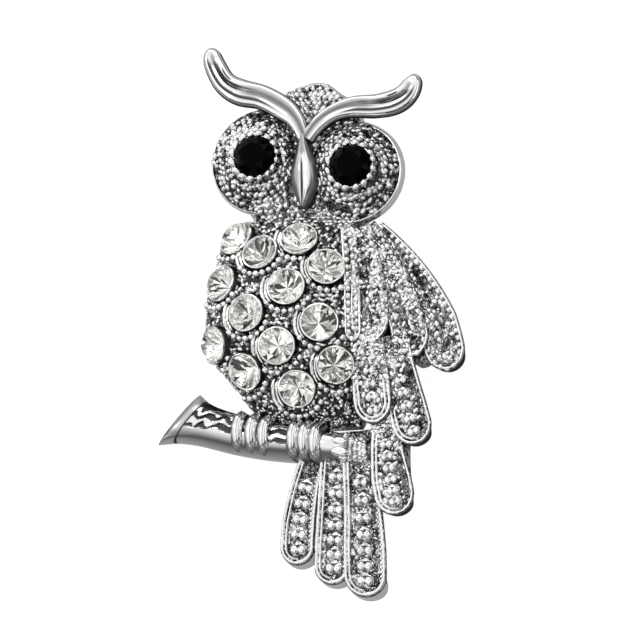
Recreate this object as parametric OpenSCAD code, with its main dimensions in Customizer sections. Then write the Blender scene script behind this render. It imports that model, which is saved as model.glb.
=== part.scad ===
// Figural owl brooch: a hollow cast owl on a branch, set with round cut stones, with a pin across its back
// It lies on its back on a table: +Z is the front of the owl, +Y its head, +X the right of the view

/* [Casting] */
// Height of the casting's flat back rim above the table, which the pin and the tail tip hold it at
back_gap = 3.3; // [3:0.1:4.2]
// Thickness of the cast metal over the hollow back
wall = 1.9; // [1.6:0.1:2.2]
// Height of the straight side of the belly and head before they dome
edge_h = 1.3; // [0.9:0.1:1.8]

/* [Belly] */
// Width of the belly
belly_w = 20.2; // [18:0.2:23]
// Height of the belly from the branch to the neck
belly_h = 24.6; // [22:0.2:27]
// Relief of the belly above the back rim
belly_relief = 6.2; // [5.2:0.1:7.2]

/* [Head] */
// Width of the head over both face discs
head_w = 22.2; // [20:0.2:25]
// Height of the head from the neck to the crown
head_h = 16.4; // [15:0.2:18]
// Relief of the horns where they meet, above the back rim
head_relief = 6; // [5:0.1:7]
// Radius of a face disc
disc_r = 6.2; // [5.6:0.1:6.8]
// Relief of a face disc at the eye, above the back rim
disc_relief = 4.5; // [3.8:0.1:5.2]
// Widest part of a brow horn
horn_w = 3; // [2.4:0.1:3.6]
// Thickness of a brow horn
horn_t = 2.9; // [2.5:0.1:3.4]
// Widest part of the beak
beak_w = 3.1; // [2.2:0.1:3.4]
// Height of the beak's sides below its ridge
beak_t = 4; // [3.4:0.1:4.6]

/* [Stones] */
// Diameter of a clear belly stone
belly_stone_d = 3.9; // [3.4:0.1:4.1]
// Diameter of a black eye stone
eye_stone_d = 4.7; // [4:0.1:5]
// Wall of a stone's cup
cup_wall = 0.3; // [0.2:0.05:0.4]
// Height of a stone's widest line above the metal that it is set in
seat_up = 0.45; // [0.3:0.05:0.7]
// Clearance between a stone and its cup
seat_gap = 0.05; // [0.04:0.01:0.08]
// Beads in the ring round an eye
eye_beads = 16; // [12:1:20]

/* [Wing] */
// Reach of the wing to the right of the shoulder
wing_w = 10.6; // [9:0.2:12]
// Length of the wing from the shoulder to the lowest feather's tip
wing_l = 34; // [31:0.5:37]
// Width of a wing feather
wing_feather_w = 4.2; // [3.6:0.1:4.8]
// Thickness of a wing feather
wing_feather_t = 2.2; // [1.8:0.1:2.6]
// Relief of the wing's highest feather above the back rim
wing_relief = 4.5; // [4:0.1:5.2]

/* [Tail] */
// Width of the tail
tail_w = 10.4; // [9:0.2:12]
// Length of the tail below the branch
tail_l = 15.5; // [13:0.5:18]
// Width of a tail feather
tail_feather_w = 4.2; // [3.6:0.1:4.8]
// Thickness of a tail feather
tail_feather_t = 2.5; // [2:0.1:3]
// Radius of a bead on the feathers
bead_r = 0.36; // [0.3:0.02:0.44]

/* [Branch] */
// Length of the branch from its cut end to the tail
branch_l = 23; // [21:0.5:25]
// Width of the branch where the claws hold it
branch_w = 4.4; // [3.8:0.1:5.2]
// Relief of the branch above the back rim
branch_relief = 4; // [3.4:0.1:4.6]
// Slope of the branch
branch_turn = -11; // [-14:1:-8]
// Width of a toe
toe_w = 1.4; // [1.1:0.05:1.6]
// Thickness of a toe
toe_t = 2.4; // [2.2:0.1:3]

/* [Pin] */
// Distance between the joint and the catch of the pin
pin_l = 16; // [14:0.2:17]
// Height of the pin on the back, above the middle of the belly
pin_rise = 6.5; // [5:0.5:8]
// Diameter of the pin's wire
wire_d = 0.9; // [0.7:0.1:1.1]
// Diameter of the joint and of the catch
joint_d = 2.4; // [2:0.1:2.7]
// Length of the joint and of the catch along their own axes
joint_l = 2.6; // [2:0.1:3.2]
// Side of a pin's pad
pad_w = 3.2; // [2.6:0.1:3.6]
// Thickness of a pin's pad
pad_t = 0.6; // [0.4:0.1:0.8]
// Gap between the pin's pads and the casting
pad_gap = 0.05; // [0.04:0.01:0.1]

/* [Hidden] */
// Places of the belly stones: shares of the belly's half width and half height from its middle
STONE_PLACES = [[-0.598, 0.769], [-0.286, 0.589], [0.144, 0.694], [0.455, 0.417], [0.038, 0.235],
    [-0.743, 0.341], [-0.414, 0.023], [0.391, -0.098], [-0.828, -0.215], [-0.066, -0.295], [0.544, -0.476],
    [-0.453, -0.481], [0.13, -0.669]];
BELLY_STONES = [for (i = [1 : len(STONE_PLACES)]) str("belly_stone_", i < 10 ? "0" : "", i)];

// Middle of the belly on the plan, and from its top, right or bottom the steps to the head's middle, the
// shoulder, the tail's root and the branch's cut end
half_w = belly_w / 2;
half_h = belly_h / 2;
belly_c = [-1.4, -0.5];
TO_HEAD = [1.4, 5.2];
TO_SHOULDER = [-1.7, -1.3];
TO_TAIL = [4.4, -3.2];
TO_BRANCH = [-13.6, 1.8];
head_c = belly_c + [0, half_h] + TO_HEAD;
shoulder = belly_c + [half_w, half_h] + TO_SHOULDER;
tail_c = belly_c + [0, -half_h] + TO_TAIL;
branch_c = belly_c + [0, -half_h] + TO_BRANCH;
rim_z = back_gap;

// Belly outline: share of the half height, then left and right edge as shares of the half width
BELLY = [[-1, -0.2, 0.76], [-0.86, -0.4, 0.84], [-0.69, -0.57, 0.87], [-0.58, -0.66, 0.88],
    [-0.4, -0.86, 0.9], [-0.24, -0.97, 0.93], [0.05, -1, 0.95], [0.36, -0.965, 0.95],
    [0.62, -0.87, 0.9], [0.84, -0.77, 0.82], [0.94, -0.59, 0.7], [1, -0.38, 0.6]];
// Power of the belly's dome: lower is boxier
DOME_POWER = 0.6;

// Head core behind the discs: shares of the half width, of the half height, of the half width, of the relief
HEAD = [[0.09, -0.86, 0.5, 0.3], [0.08, -0.5, 0.68, 0.45], [0.06, 0, 0.7, 0.55], [0.05, 0.45, 0.6, 0.52],
    [0.07, 0.8, 0.5, 0.45], [0.08, 1.03, 0.36, 0.36], [0.09, 1.17, 0.2, 0.26], [0.09, 1.24, 0.08, 0.18]];
// Middle of each face disc and of each eye, as shares of the half width and half height
DISCS = [[-0.43, 0.15], [0.44, -0.09]];
EYES = [[-0.455, 0.117], [0.538, -0.099]];
// Face disc: share of its radius, share of its relief
DISC = [[1, 0], [1, 0.32], [0.94, 0.44], [0.84, 0.5], [0.62, 0.84], [0.46, 0.98], [0.3, 1]];
// Brow horns: shares of the head's half width and half height, of the horn's width and of the relief
HORN_LEFT = [[0.075, 0.3, 0.5, 1], [-0.018, 0.574, 0.66, 0.95], [-0.165, 0.782, 0.87, 0.87],
    [-0.4, 0.988, 0.92, 0.76], [-0.646, 1.11, 1, 0.65], [-0.829, 1.284, 0.88, 0.54],
    [-0.944, 1.546, 0.8, 0.46], [-0.985, 1.72, 0.66, 0.42], [-0.985, 1.85, 0.3, 0.38]];
HORN_RIGHT = [[0.1, 0.3, 0.5, 1], [0.212, 0.515, 0.6, 0.95], [0.357, 0.672, 0.64, 0.87],
    [0.54, 0.762, 0.8, 0.76], [0.764, 0.778, 0.9, 0.65], [0.937, 0.84, 0.97, 0.54],
    [1.052, 0.957, 0.9, 0.46], [1.118, 1.12, 0.72, 0.42], [1.135, 1.265, 0.3, 0.38]];
// Beak: the same columns, with shares of the beak's width
BEAK = [[0.06, 0.36, 0.25, 0.98], [0.066, 0.16, 0.6, 1.06], [0.075, -0.06, 0.93, 1.1],
    [0.075, -0.24, 1, 1.09], [0.06, -0.42, 0.66, 0.98],
    [0.045, -0.55, 0.26, 0.87], [0.037, -0.605, 0.06, 0.82]];

// Feathers: root, bend and tip on the plan as shares of the wing's reach and length, share of the width, the
// root's share of that, and the tops at the root and the tip as shares of the relief
WING = [[[0.16, 0.03], [0.76, 0.24], [0.868, 0.517], 1.02, 0.25, 0.8, 0.58],
    [[0.01, 0.04], [0.42, 0.23], [0.515, 0.47], 0.92, 0.7, 0.9, 0.73],
    [[-0.02, 0.04], [0.09, 0.22], [0.068, 0.425], 0.95, 0.6, 1.02, 0.95],
    [[-0.16, 0.03], [-0.1, 0.2], [-0.098, 0.42], 0.42, 0.8, 1.05, 1],
    [[0.29, 0.4], [0.39, 0.59], [0.55, 0.757], 0.98, 0.8, 0.8, 0.68],
    [[0.03, 0.37], [0.06, 0.53], [0.12, 0.688], 0.96, 0.85, 0.95, 0.86],
    [[0.2, 0.65], [0.215, 0.83], [0.345, 0.982], 1, 0.62, 0.7, 0.64]];
// Tail feathers: the same columns, but for the last two, which are the root's top as a share of the branch's
// relief and the underside of the tip as a share of the back rim's height: the third tip rests on the table
TAIL = [[[-0.22, -0.16], [-0.88, 0.34], [-0.865, 0.745], 0.86, 0.7, 0.61, 0.18],
    [[0.11, -0.18], [-0.02, 0.47], [-0.155, 0.89], 0.88, 0.82, 0.74, 0.06],
    [[0.57, -0.18], [0.7, 0.52], [0.57, 0.985], 1.08, 0.74, 0.84, 0]];
// Shares of a feather's length before its tip begins, and turns of its round tip in degrees
BLADE = [0, 0.3, 0.6, 0.85];
TIP_TURNS = [0, 42, 68, 86];
// A round tip's length in half widths of the feather
TIP_ROUND = 1.15;
// Share of a feather's length over which its root widens
ROOT_SHARE = 0.8;
// Section of a feather with its smooth rim, groove and raised middle: shares of half width and thickness
FEATHER_SECTION = [[-1, 0], [-1, 0.82], [-0.86, 1], [-0.64, 0.87], [0, 1], [0.64, 0.87], [0.86, 1],
    [1, 0.82], [1, 0]];
// Sections of a dome, a hollowed horn and a ridged beak
DOME_SECTION = [[-1, 0], [-1, 0.4], [-0.86, 0.72], [-0.5, 0.93], [0, 1], [0.5, 0.93], [0.86, 0.72],
    [1, 0.4], [1, 0]];
HORN_SECTION = [[-1, 0], [-1, 0.8], [-0.85, 1], [-0.65, 0.95], [-0.2, 0.8], [0.35, 0.86], [0.7, 1],
    [0.9, 0.95], [1, 0.75], [1, 0]];
BEAK_SECTION = [[-1, 0], [-1, 0.7], [-0.75, 0.89], [-0.2, 1], [0, 0.97], [0.2, 1], [0.75, 0.89],
    [1, 0.7], [1, 0]];
TOE_SECTION = [[-1, 0], [-0.95, 0.68], [-0.5, 0.95], [0.5, 0.95], [0.95, 0.68], [1, 0]];
// Plate under the wing feathers: shares of the wing's reach and length, of its reach and of its relief
WING_PLATE = [[0.08, 0.03, 0.12, 0.55], [0.25, 0.12, 0.2, 0.62], [0.35, 0.26, 0.33, 0.5],
    [0.42, 0.38, 0.42, 0.42], [0.26, 0.46, 0.24, 0.36], [0.26, 0.62, 0.22, 0.36], [0.27, 0.76, 0.16, 0.36],
    [0.33, 0.93, 0.12, 0.36]];
// Branch: low edge, then high edge, each as shares of its length and width, and its share of the relief
BRANCH = [[-0.075, -0.64, 0.085, 0.78, 0.62], [0.03, -0.53, 0.15, 0.58, 0.7], [0.14, -0.52, 0.24, 0.46, 0.8],
    [0.31, -0.6, 0.36, 0.39, 0.86], [0.47, -0.62, 0.5, 0.37, 0.92], [0.64, -0.57, 0.65, 0.35, 0.98],
    [0.84, -0.46, 0.84, 0.3, 1], [1, -0.4, 0.97, 0.25, 0.9]];
// Toes: where each crosses the branch as a share of its length
TOES = [0.355, 0.425, 0.49, 0.64, 0.695, 0.75];
// A toe over the branch: shares of the branch's length to its right, of its width across, of its relief up
TOE = [[0.004, 0.42, 0.92], [-0.012, 0.2, 1.17], [-0.012, -0.1, 1.22], [0.003, -0.38, 1.08],
    [0.028, -0.53, 0.7]];

// Turns a share into a place on the plan
function on(centre, size, share) = [centre.x + size.x * share[0], centre.y + size.y * share[1]];
function mix(a, b, t) = a + (b - a) * t;
function unit(v) = v / norm(v);
// Quadratic curve through root and tip, drawn towards the bend
function curve(root, bend, tip, t) = mix(mix(root, bend, t), mix(bend, tip, t), t);
// A table's first column beside its column n, to look values up in
function column(rows, n) = [for (r = rows) [r[0], r[n]]];

// One ring across a strip from edge a to edge b, between two heights, for a section of shares
function ring(a, b, low, high, section) = [for (s = section)
    let (p = mix(a, b, (s[0] + 1) / 2)) [p.x, p.y, mix(low, high, s[1])]];

// Rings of a strip whose rows are [x, y, half width, low, high]
function strip_rings(rows, section) = [for (i = [0 : len(rows) - 1])
    let (back = rows[max(i - 1, 0)], fore = rows[min(i + 1, len(rows) - 1)],
        way = unit([fore[0] - back[0], fore[1] - back[1]]), side = [way.y, -way.x] * rows[i][2],
        c = [rows[i][0], rows[i][1]])
    ring(c - side, c + side, rows[i][3], rows[i][4], section)];

// Closed skin over a list of rings with as many points each
module skin(rings) {
    n = len(rings[0]);
    last = len(rings) - 1;
    sides = [for (i = [0 : last - 1], j = [0 : n - 1]) let (k = (j + 1) % n)
        each [[i * n + j, (i + 1) * n + j, (i + 1) * n + k], [i * n + j, (i + 1) * n + k, i * n + k]]];
    ends = [[for (j = [0 : n - 1]) j], [for (j = [n - 1 : -1 : 0]) last * n + j]];
    polyhedron(points = [for (r = rings) each r], faces = concat(sides, ends));
}

module strip(rows, section) skin(strip_rings(rows, section));

// Belly dome: left and right edge at a share of the half height, and the height of its metal over the plan
function belly_left(v) = belly_c.x + half_w * lookup(v, column(BELLY, 1));
function belly_right(v) = belly_c.x + half_w * lookup(v, column(BELLY, 2));
function dome_share(u, v) = pow(max(0, (1 - u * u) * (1 - v * v)), DOME_POWER);
function belly_z(x, y) = let (v = (y - belly_c.y) / half_h, l = belly_left(v), r = belly_right(v),
    u = (2 * x - l - r) / (r - l)) rim_z + edge_h + (belly_relief - edge_h) * dome_share(u, v);
// Outward direction of the belly's metal, from its slope over a short step
STEP = 0.6;
function belly_out(x, y) = unit([belly_z(x - STEP, y) - belly_z(x + STEP, y),
    belly_z(x, y - STEP) - belly_z(x, y + STEP), 2 * STEP]);

// One ring across the belly: inset from the outline, low edge, and height of the dome
ACROSS = [-1, -0.92, -0.74, -0.42, 0, 0.42, 0.74, 0.92, 1];
function belly_ring(v, inset, low, edge, high) = let (l = belly_left(v) + inset, r = belly_right(v) - inset,
    y = belly_c.y + v * (half_h - inset))
    [[l, y, low], for (u = ACROSS) [mix(l, r, (u + 1) / 2), y, mix(edge, high, dome_share(u, v))],
        [r, y, low]];

module belly_dome(inset, low, edge, high)
    skin([for (row = BELLY) belly_ring(row[0], inset, low, edge, high)]);

// A stone's widest line is at z = 0 in its cup and pocket: the cup's rim is above it, its foot in the metal
LIP = 0.16;
CUP_FOOT = 0.9;
CUP_FLARE = 0.15;
CUP_SIDES = 16;
// Sides of a stone's table, half as many as its widest line has
TABLE_SIDES = 8;
// Thickness of a stone's girdle, and its back, crown, table and kite points as shares of its diameter
GIRDLE = 0.12;
PAVILION_SHARE = 0.42;
CROWN_SHARE = 0.2;
TABLE_SHARE = 0.27;
KITE_SHARE = 0.41;
KITE_HEIGHT = 0.56;
CULET_R = 0.08;
function cup_r(d) = d / 2 + seat_gap + cup_wall;

module cup(d) {
    foot = seat_up + CUP_FOOT;
    translate([0, 0, -foot])
        cylinder(h = foot + LIP, r1 = cup_r(d) + CUP_FLARE, r2 = cup_r(d), $fn = CUP_SIDES);
}

// Straight mouth for the girdle and a cone for the pointed back, with the clearance all round, as one solid
module pocket(d) {
    r = d / 2 + seat_gap;
    floor = -GIRDLE / 2 - seat_gap;
    tip = floor - PAVILION_SHARE * d - 3 * seat_gap;
    mouth = 2 * seat_up + CUP_FOOT;
    rotate_extrude($fn = CUP_SIDES) polygon([[0, tip], [r, floor], [r, mouth], [0, mouth]]);
}

// Thin slice of a stone with a radius and a number of sides
SLICE = 0.01;
module slice(z, r, sides, turn = 0)
    translate([0, 0, z]) rotate(turn) cylinder(h = SLICE, r = r, $fn = sides);

// Round cut stone: table, star, kite and girdle facets above, a pointed back below
module cut_stone(d) {
    crown_h = CROWN_SHARE * d;
    hull() {
        slice(crown_h, TABLE_SHARE * d, TABLE_SIDES);
        slice(crown_h * KITE_HEIGHT, KITE_SHARE * d, TABLE_SIDES, 180 / TABLE_SIDES);
        slice(GIRDLE / 2 - SLICE, d / 2, CUP_SIDES);
        slice(-GIRDLE / 2, d / 2, CUP_SIDES);
        slice(-GIRDLE / 2 - PAVILION_SHARE * d, CULET_R, TABLE_SIDES);
    }
}

// Puts a child that is drawn round +Z at a place, turned so that +Z points out
module aim(place, out)
    translate(place) rotate([0, acos(out.z), atan2(out.y, out.x)]) children();

function stone_plan(i) = on(belly_c, [half_w, half_h], STONE_PLACES[i]);
module at_belly_stone(i) {
    p = stone_plan(i);
    out = belly_out(p.x, p.y);
    aim([p.x, p.y, belly_z(p.x, p.y)] + out * seat_up, out) children();
}

module at_eye(side) {
    p = on(head_c, [head_w / 2, head_h / 2], EYES[side]);
    translate([p.x, p.y, rim_z + disc_relief + seat_up]) children();
}

// Small raised bead with ten sides: slices joined by a hull, each a share of the bead's radius up and across
BEAD_SLICES = [[0, 1], [0.8, 0.5]];
module bead(r)
    hull()
        for (s = BEAD_SLICES) slice(s[0] * r, s[1] * r, 10);

// Face disc: rings of a low cone round the eye with a raised rim
DISC_SIDES = 20;
module face_disc(side) {
    c = on(head_c, [head_w / 2, head_h / 2], DISCS[side]);
    skin([for (row = DISC) [for (a = [0 : DISC_SIDES - 1]) let (t = 360 * a / DISC_SIDES)
        [c.x + row[0] * disc_r * cos(t), c.y + row[0] * disc_r * sin(t), rim_z + row[1] * disc_relief]]]);
}

// Beads round an eye, stretched so that they reach from the disc to the stone's widest line
module eye_ring()
    for (k = [0 : eye_beads - 1])
        rotate(360 * (k + 0.5) / eye_beads)
            translate([cup_r(eye_stone_d) + bead_r / 3, 0, -seat_up - BEAD_SINK])
                scale([1.2, 0.95, (seat_up + BEAD_SINK) / bead_r]) bead(bead_r);

// Rows of a part of the head: [x, y, half width, low, high]
function head_rows(table, width, low) = [for (r = table) let (p = on(head_c, [head_w / 2, head_h / 2], r))
    [p.x, p.y, r[2] * width / 2, low, rim_z + r[3] * head_relief]];
// A horn keeps one thickness, so its back rises with its front
function horn_rows(table) = [for (r = head_rows(table, horn_w, 0))
    [r[0], r[1], r[2], max(rim_z, r[4] - horn_t), r[4]]];

module head() {
    strip(head_rows(HEAD, head_w, rim_z), DOME_SECTION);
    for (side = [0, 1]) {
        face_disc(side);
        at_eye(side) {
            cup(eye_stone_d);
            eye_ring();
        }
    }
    strip(horn_rows(HORN_LEFT), HORN_SECTION);
    mirror_strip(horn_rows(HORN_RIGHT), HORN_SECTION);
    strip([for (r = head_rows(BEAK, beak_w, 0)) [r[0], r[1], r[2], r[4] - beak_t, r[4]]], BEAK_SECTION);
}

// The right horn's section faces the other way, so that its hollow side is also the one towards the crown
module mirror_strip(rows, section)
    strip(rows, [for (i = [len(section) - 1 : -1 : 0]) [-section[i][0], section[i][1]]]);

// Stations of a feather: share of its length, share of its half width. Its tip is round, however long it is.
function feather_stations(length, half, root) = let (tip = TIP_ROUND * half / length)
    concat([for (b = BLADE) [b * (1 - tip), mix(root, 1, min(1, b / ROOT_SHARE))]],
        [for (a = TIP_TURNS) if (a > 0) [1 - tip + tip * sin(a), cos(a)]]);
// Rows of a feather between two heights of its top: [x, y, half width, low, high, share of its length]
function feather_rows(f, centre, size, width, thick, root_top, tip_top) =
    let (root = on(centre, size, f[0]), bend = on(centre, size, f[1]), tip = on(centre, size, f[2]),
        length = norm(bend - root) + norm(tip - bend), half = f[3] * width / 2)
    [for (s = feather_stations(length, half, f[4])) let (p = curve(root, bend, tip, s[0]),
        top = mix(root_top, tip_top, s[0])) [p.x, p.y, half * s[1], top - thick, top, s[0]]];
function wing_rows(f) = feather_rows(f, shoulder, [wing_w, -wing_l], wing_feather_w, wing_feather_t,
    rim_z + f[5] * wing_relief, rim_z + f[6] * wing_relief);
function tail_rows(f) = feather_rows(f, tail_c, [tail_w / 2, -tail_l], tail_feather_w, tail_feather_t,
    rim_z + f[5] * branch_relief, f[6] * back_gap + tail_feather_t);

// A feather's row at any share of its length
function station(rows, t) = [for (n = [0 : 4]) lookup(t, [for (r = rows) [r[5], r[n]]])];

// Pairs of beads along a feather between two shares of its length, sunk a little into its top
BEAD_SINK = 0.1;
module bead_pairs(rows, from, to, count)
    for (k = [0 : count - 1]) {
        t = mix(from, to, k / (count - 1));
        here = station(rows, t);
        next = station(rows, t + 0.02);
        way = unit([next[0] - here[0], next[1] - here[1]]);
        for (side = [-bead_r, bead_r])
            translate([here[0] + side * way.y, here[1] - side * way.x, here[4] - BEAD_SINK]) bead(bead_r);
    }

module feathers() {
    strip([for (r = WING_PLATE) let (p = on(shoulder, [wing_w, -wing_l], r))
        [p.x, p.y, r[2] * wing_w, rim_z, rim_z + r[3] * wing_relief]], DOME_SECTION);
    for (f = WING) strip(wing_rows(f), FEATHER_SECTION);
    for (f = TAIL) {
        strip(tail_rows(f), FEATHER_SECTION);
        bead_pairs(tail_rows(f), 0.32, 0.9, 5);
    }
    for (f = [4, 5, 6]) bead_pairs(wing_rows(WING[f]), 0.6, 0.84, 2);
}

// A place on the branch: shares of its length, of its width across, and of its relief above the back rim
function branch_at(along, across, up = 0) =
    let (u = along * branch_l, v = across * branch_w, c = cos(branch_turn), s = sin(branch_turn))
    [branch_c.x + u * c - v * s, branch_c.y + u * s + v * c, rim_z + up * branch_relief];
function plan(p) = [p.x, p.y];
function branch_rings() = [for (r = BRANCH) ring(plan(branch_at(r[2], r[3])), plan(branch_at(r[0], r[1])),
    rim_z, branch_at(0, 0, r[4]).z, DOME_SECTION)];

module branch() skin(branch_rings());

// Toes: each is a strip that bends over the branch
module claws()
    for (toe = TOES)
        strip([for (r = TOE) let (p = branch_at(toe + r[0], r[1], r[2] * lookup(toe, column(BRANCH, 4))))
            [p.x, p.y, toe_w / 2, p.z - toe_t, p.z]], TOE_SECTION);

// Solid blocks inside the hollow back, which the pin's pads are fixed to
BOSS_H = 1.8;
// Depth that the hollow and its blocks run out below the rim, so that the cut is clean
BELOW = 1;
pin_x = belly_c.x + 1.7;
pin_y = belly_c.y + pin_rise;
module at_pin_end(side) translate([pin_x + side * pin_l / 2, pin_y, 0]) children();
module pad(low, height) translate([-pad_w / 2, -pad_w / 2, low]) cube([pad_w, pad_w, height]);
module bosses() for (side = [-1, 1]) at_pin_end(side) pad(rim_z - BELOW, BOSS_H + BELOW);

// Moves the whole brooch so that the middle of its outline on the table is the origin: the left horn reaches
// highest, the cut end of the branch furthest left, the outer feather furthest right, a tail feather lowest
function outline_points() = [for (rings = [branch_rings(), strip_rings(horn_rows(HORN_LEFT), HORN_SECTION),
    strip_rings(wing_rows(WING[0]), FEATHER_SECTION), strip_rings(tail_rows(TAIL[2]), FEATHER_SECTION)])
    each [for (r = rings) each r]];
function middle(values) = (min(values) + max(values)) / 2;
module to_middle()
    translate([for (axis = [0, 1]) -middle([for (p = outline_points()) p[axis]])]) children();

module owl_casting() to_middle() color("silver") {
    difference() {
        union() {
            belly_dome(0, rim_z, rim_z + edge_h, rim_z + belly_relief);
            head();
            feathers();
            branch();
            claws();
            for (i = [0 : len(STONE_PLACES) - 1]) at_belly_stone(i) cup(belly_stone_d);
        }
        difference() {
            hollow();
            bosses();
        }
        for (i = [0 : len(STONE_PLACES) - 1]) at_belly_stone(i) pocket(belly_stone_d);
        for (side = [0, 1]) at_eye(side) pocket(eye_stone_d);
    }
}

// The hollow behind the belly and the head, cut from below the rim up to a wall's thickness under the front
HOLLOW_EDGE = 0.4;
MIN_HOLLOW = 0.2;
module hollow() {
    belly_dome(wall, rim_z - BELOW, rim_z + edge_h - HOLLOW_EDGE, rim_z + belly_relief - wall);
    strip([for (r = head_rows(HEAD, head_w, rim_z - BELOW))
        [r[0], r[1], max(MIN_HOLLOW, r[2] - wall), r[3], r[4] - wall]], DOME_SECTION);
}

module belly_stone(i) to_middle() color("white") at_belly_stone(i) cut_stone(belly_stone_d);
module eye_stone(side) to_middle() color("black") at_eye(side) cut_stone(eye_stone_d);

// Pin: two pads, the joint barrel, the wire and the catch as one piece, with the wire a little past the catch
PAST_CATCH = 0.75;
POST_SHARE = 0.5;
module pin_back() to_middle() color("gainsboro") {
    axis_z = joint_d / 2;
    top = rim_z - pad_gap;
    for (side = [-1, 1]) at_pin_end(side) {
        pad(top - pad_t, pad_t);
        translate([-joint_d * POST_SHARE / 2, -joint_l / 2, axis_z])
            cube([joint_d * POST_SHARE, joint_l, top - axis_z - pad_t / 2]);
        translate([0, joint_l / 2, axis_z]) rotate([90, 0, 0]) cylinder(h = joint_l, d = joint_d, $fn = 48);
    }
    at_pin_end(-1) translate([0, 0, axis_z]) rotate([0, 90, 0])
        cylinder(h = pin_l + joint_d * PAST_CATCH, d = wire_d, $fn = 32);
}

owl_casting();
for (i = [0 : len(BELLY_STONES) - 1]) belly_stone(i);
eye_stone(0);  // eye_stone_left
eye_stone(1);  // eye_stone_right
pin_back();
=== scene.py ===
"""Finished surfaces of a cast owl brooch: its beaded metal, cut stones, pin and studio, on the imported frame.

Shapes are worked out in millimetres on the casting's plan, where +X is the right of the view, +Y the owl's
head and +Z its front, and are moved and scaled to the frame when a mesh is made.
"""

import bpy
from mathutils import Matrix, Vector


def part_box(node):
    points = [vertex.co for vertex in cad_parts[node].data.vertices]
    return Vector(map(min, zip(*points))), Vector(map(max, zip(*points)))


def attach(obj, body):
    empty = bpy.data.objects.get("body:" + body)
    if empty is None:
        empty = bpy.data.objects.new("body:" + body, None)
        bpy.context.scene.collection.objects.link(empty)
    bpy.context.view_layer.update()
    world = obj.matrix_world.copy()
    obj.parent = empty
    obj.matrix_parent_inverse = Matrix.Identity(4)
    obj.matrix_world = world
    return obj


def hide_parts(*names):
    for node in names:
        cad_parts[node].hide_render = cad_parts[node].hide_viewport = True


bl_info = {
    "name": "Owl brooch",
    "version": (1, 0, 0),
    "blender": (4, 5, 0),
    "location": "View3D > Sidebar > Owl brooch",
    "description": "Builds a cast owl brooch with beaded feathers, cut stones and a bar pin",
    "category": "Add Mesh",
}

from itertools import product
from types import SimpleNamespace

import bpy
import numpy as np
from bpy.props import FloatProperty, FloatVectorProperty, IntProperty
from mathutils import Matrix

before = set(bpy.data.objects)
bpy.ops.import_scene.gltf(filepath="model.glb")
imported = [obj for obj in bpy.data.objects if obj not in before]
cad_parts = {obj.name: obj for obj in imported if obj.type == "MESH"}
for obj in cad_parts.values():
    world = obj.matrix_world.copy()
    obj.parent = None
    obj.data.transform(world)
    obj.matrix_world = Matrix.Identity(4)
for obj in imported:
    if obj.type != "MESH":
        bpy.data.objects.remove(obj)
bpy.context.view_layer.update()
MM = 0.001

# Places on the plan: the belly's middle, and the steps from it to the head, shoulder, tail and branch
BELLY_MIDDLE = np.array([-1.4, -0.5])
TO_HEAD = np.array([1.4, 5.2])
TO_SHOULDER = np.array([-1.7, -1.3])
TO_TAIL = np.array([4.4, -3.2])
TO_BRANCH = np.array([-13.6, 1.8])

# Belly outline: share of the half height, then left and right edge as shares of the half width. The places of
# its stones are shares of the half sizes.
BELLY = np.array([[-1, -0.2, 0.76], [-0.86, -0.4, 0.84], [-0.69, -0.57, 0.87], [-0.58, -0.66, 0.88],
    [-0.4, -0.86, 0.9], [-0.24, -0.97, 0.93], [0.05, -1, 0.95], [0.36, -0.965, 0.95],
    [0.62, -0.87, 0.9], [0.84, -0.77, 0.82], [0.94, -0.59, 0.7], [1, -0.38, 0.6]])
STONE_PLACES = np.array([[-0.598, 0.769], [-0.286, 0.589], [0.144, 0.694], [0.455, 0.417], [0.038, 0.235],
    [-0.743, 0.341], [-0.414, 0.023], [0.391, -0.098], [-0.828, -0.215], [-0.066, -0.295], [0.544, -0.476],
    [-0.453, -0.481], [0.13, -0.669]])
DOME_POWER = 0.6
# Head core, brow horns and beak: place as shares of the head's half sizes, share of the width, share of the
# relief
HEAD = np.array([[0.09, -0.86, 0.5, 0.3], [0.08, -0.5, 0.68, 0.45], [0.06, 0, 0.7, 0.55],
    [0.05, 0.45, 0.6, 0.52], [0.07, 0.8, 0.5, 0.45], [0.08, 1.03, 0.36, 0.36], [0.09, 1.17, 0.2, 0.26],
    [0.09, 1.24, 0.08, 0.18]])
# Middles of the face discs and of the eyes, left then right, as shares of the head's half sizes
DISCS = np.array([[-0.43, 0.15], [0.44, -0.09]])
EYES = np.array([[-0.455, 0.117], [0.538, -0.099]])
# Face disc: share of its radius, share of its relief
DISC = np.array([[0, 1], [0.3, 1], [0.46, 0.98], [0.62, 0.84], [0.84, 0.5], [0.94, 0.44], [1, 0.32]])
HORN_LEFT = np.array([[0.075, 0.3, 0.5, 1], [-0.018, 0.574, 0.66, 0.95], [-0.165, 0.782, 0.87, 0.87],
    [-0.4, 0.988, 0.92, 0.76], [-0.646, 1.11, 1, 0.65], [-0.829, 1.284, 0.88, 0.54],
    [-0.944, 1.546, 0.8, 0.46], [-0.985, 1.72, 0.66, 0.42], [-0.985, 1.85, 0.3, 0.38]])
HORN_RIGHT = np.array([[0.1, 0.3, 0.5, 1], [0.212, 0.515, 0.6, 0.95], [0.357, 0.672, 0.64, 0.87],
    [0.54, 0.762, 0.8, 0.76], [0.764, 0.778, 0.9, 0.65], [0.937, 0.84, 0.97, 0.54],
    [1.052, 0.957, 0.9, 0.46], [1.118, 1.12, 0.72, 0.42], [1.135, 1.265, 0.3, 0.38]])
BEAK = np.array([[0.06, 0.36, 0.34, 0.98], [0.066, 0.2, 0.48, 1.04], [0.072, 0.06, 0.68, 1.08],
    [0.075, -0.08, 0.88, 1.1], [0.075, -0.22, 0.98, 1.09], [0.068, -0.35, 0.94, 1.03],
    [0.056, -0.46, 0.74, 0.95], [0.044, -0.56, 0.42, 0.87], [0.037, -0.63, 0.1, 0.82]])
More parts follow.
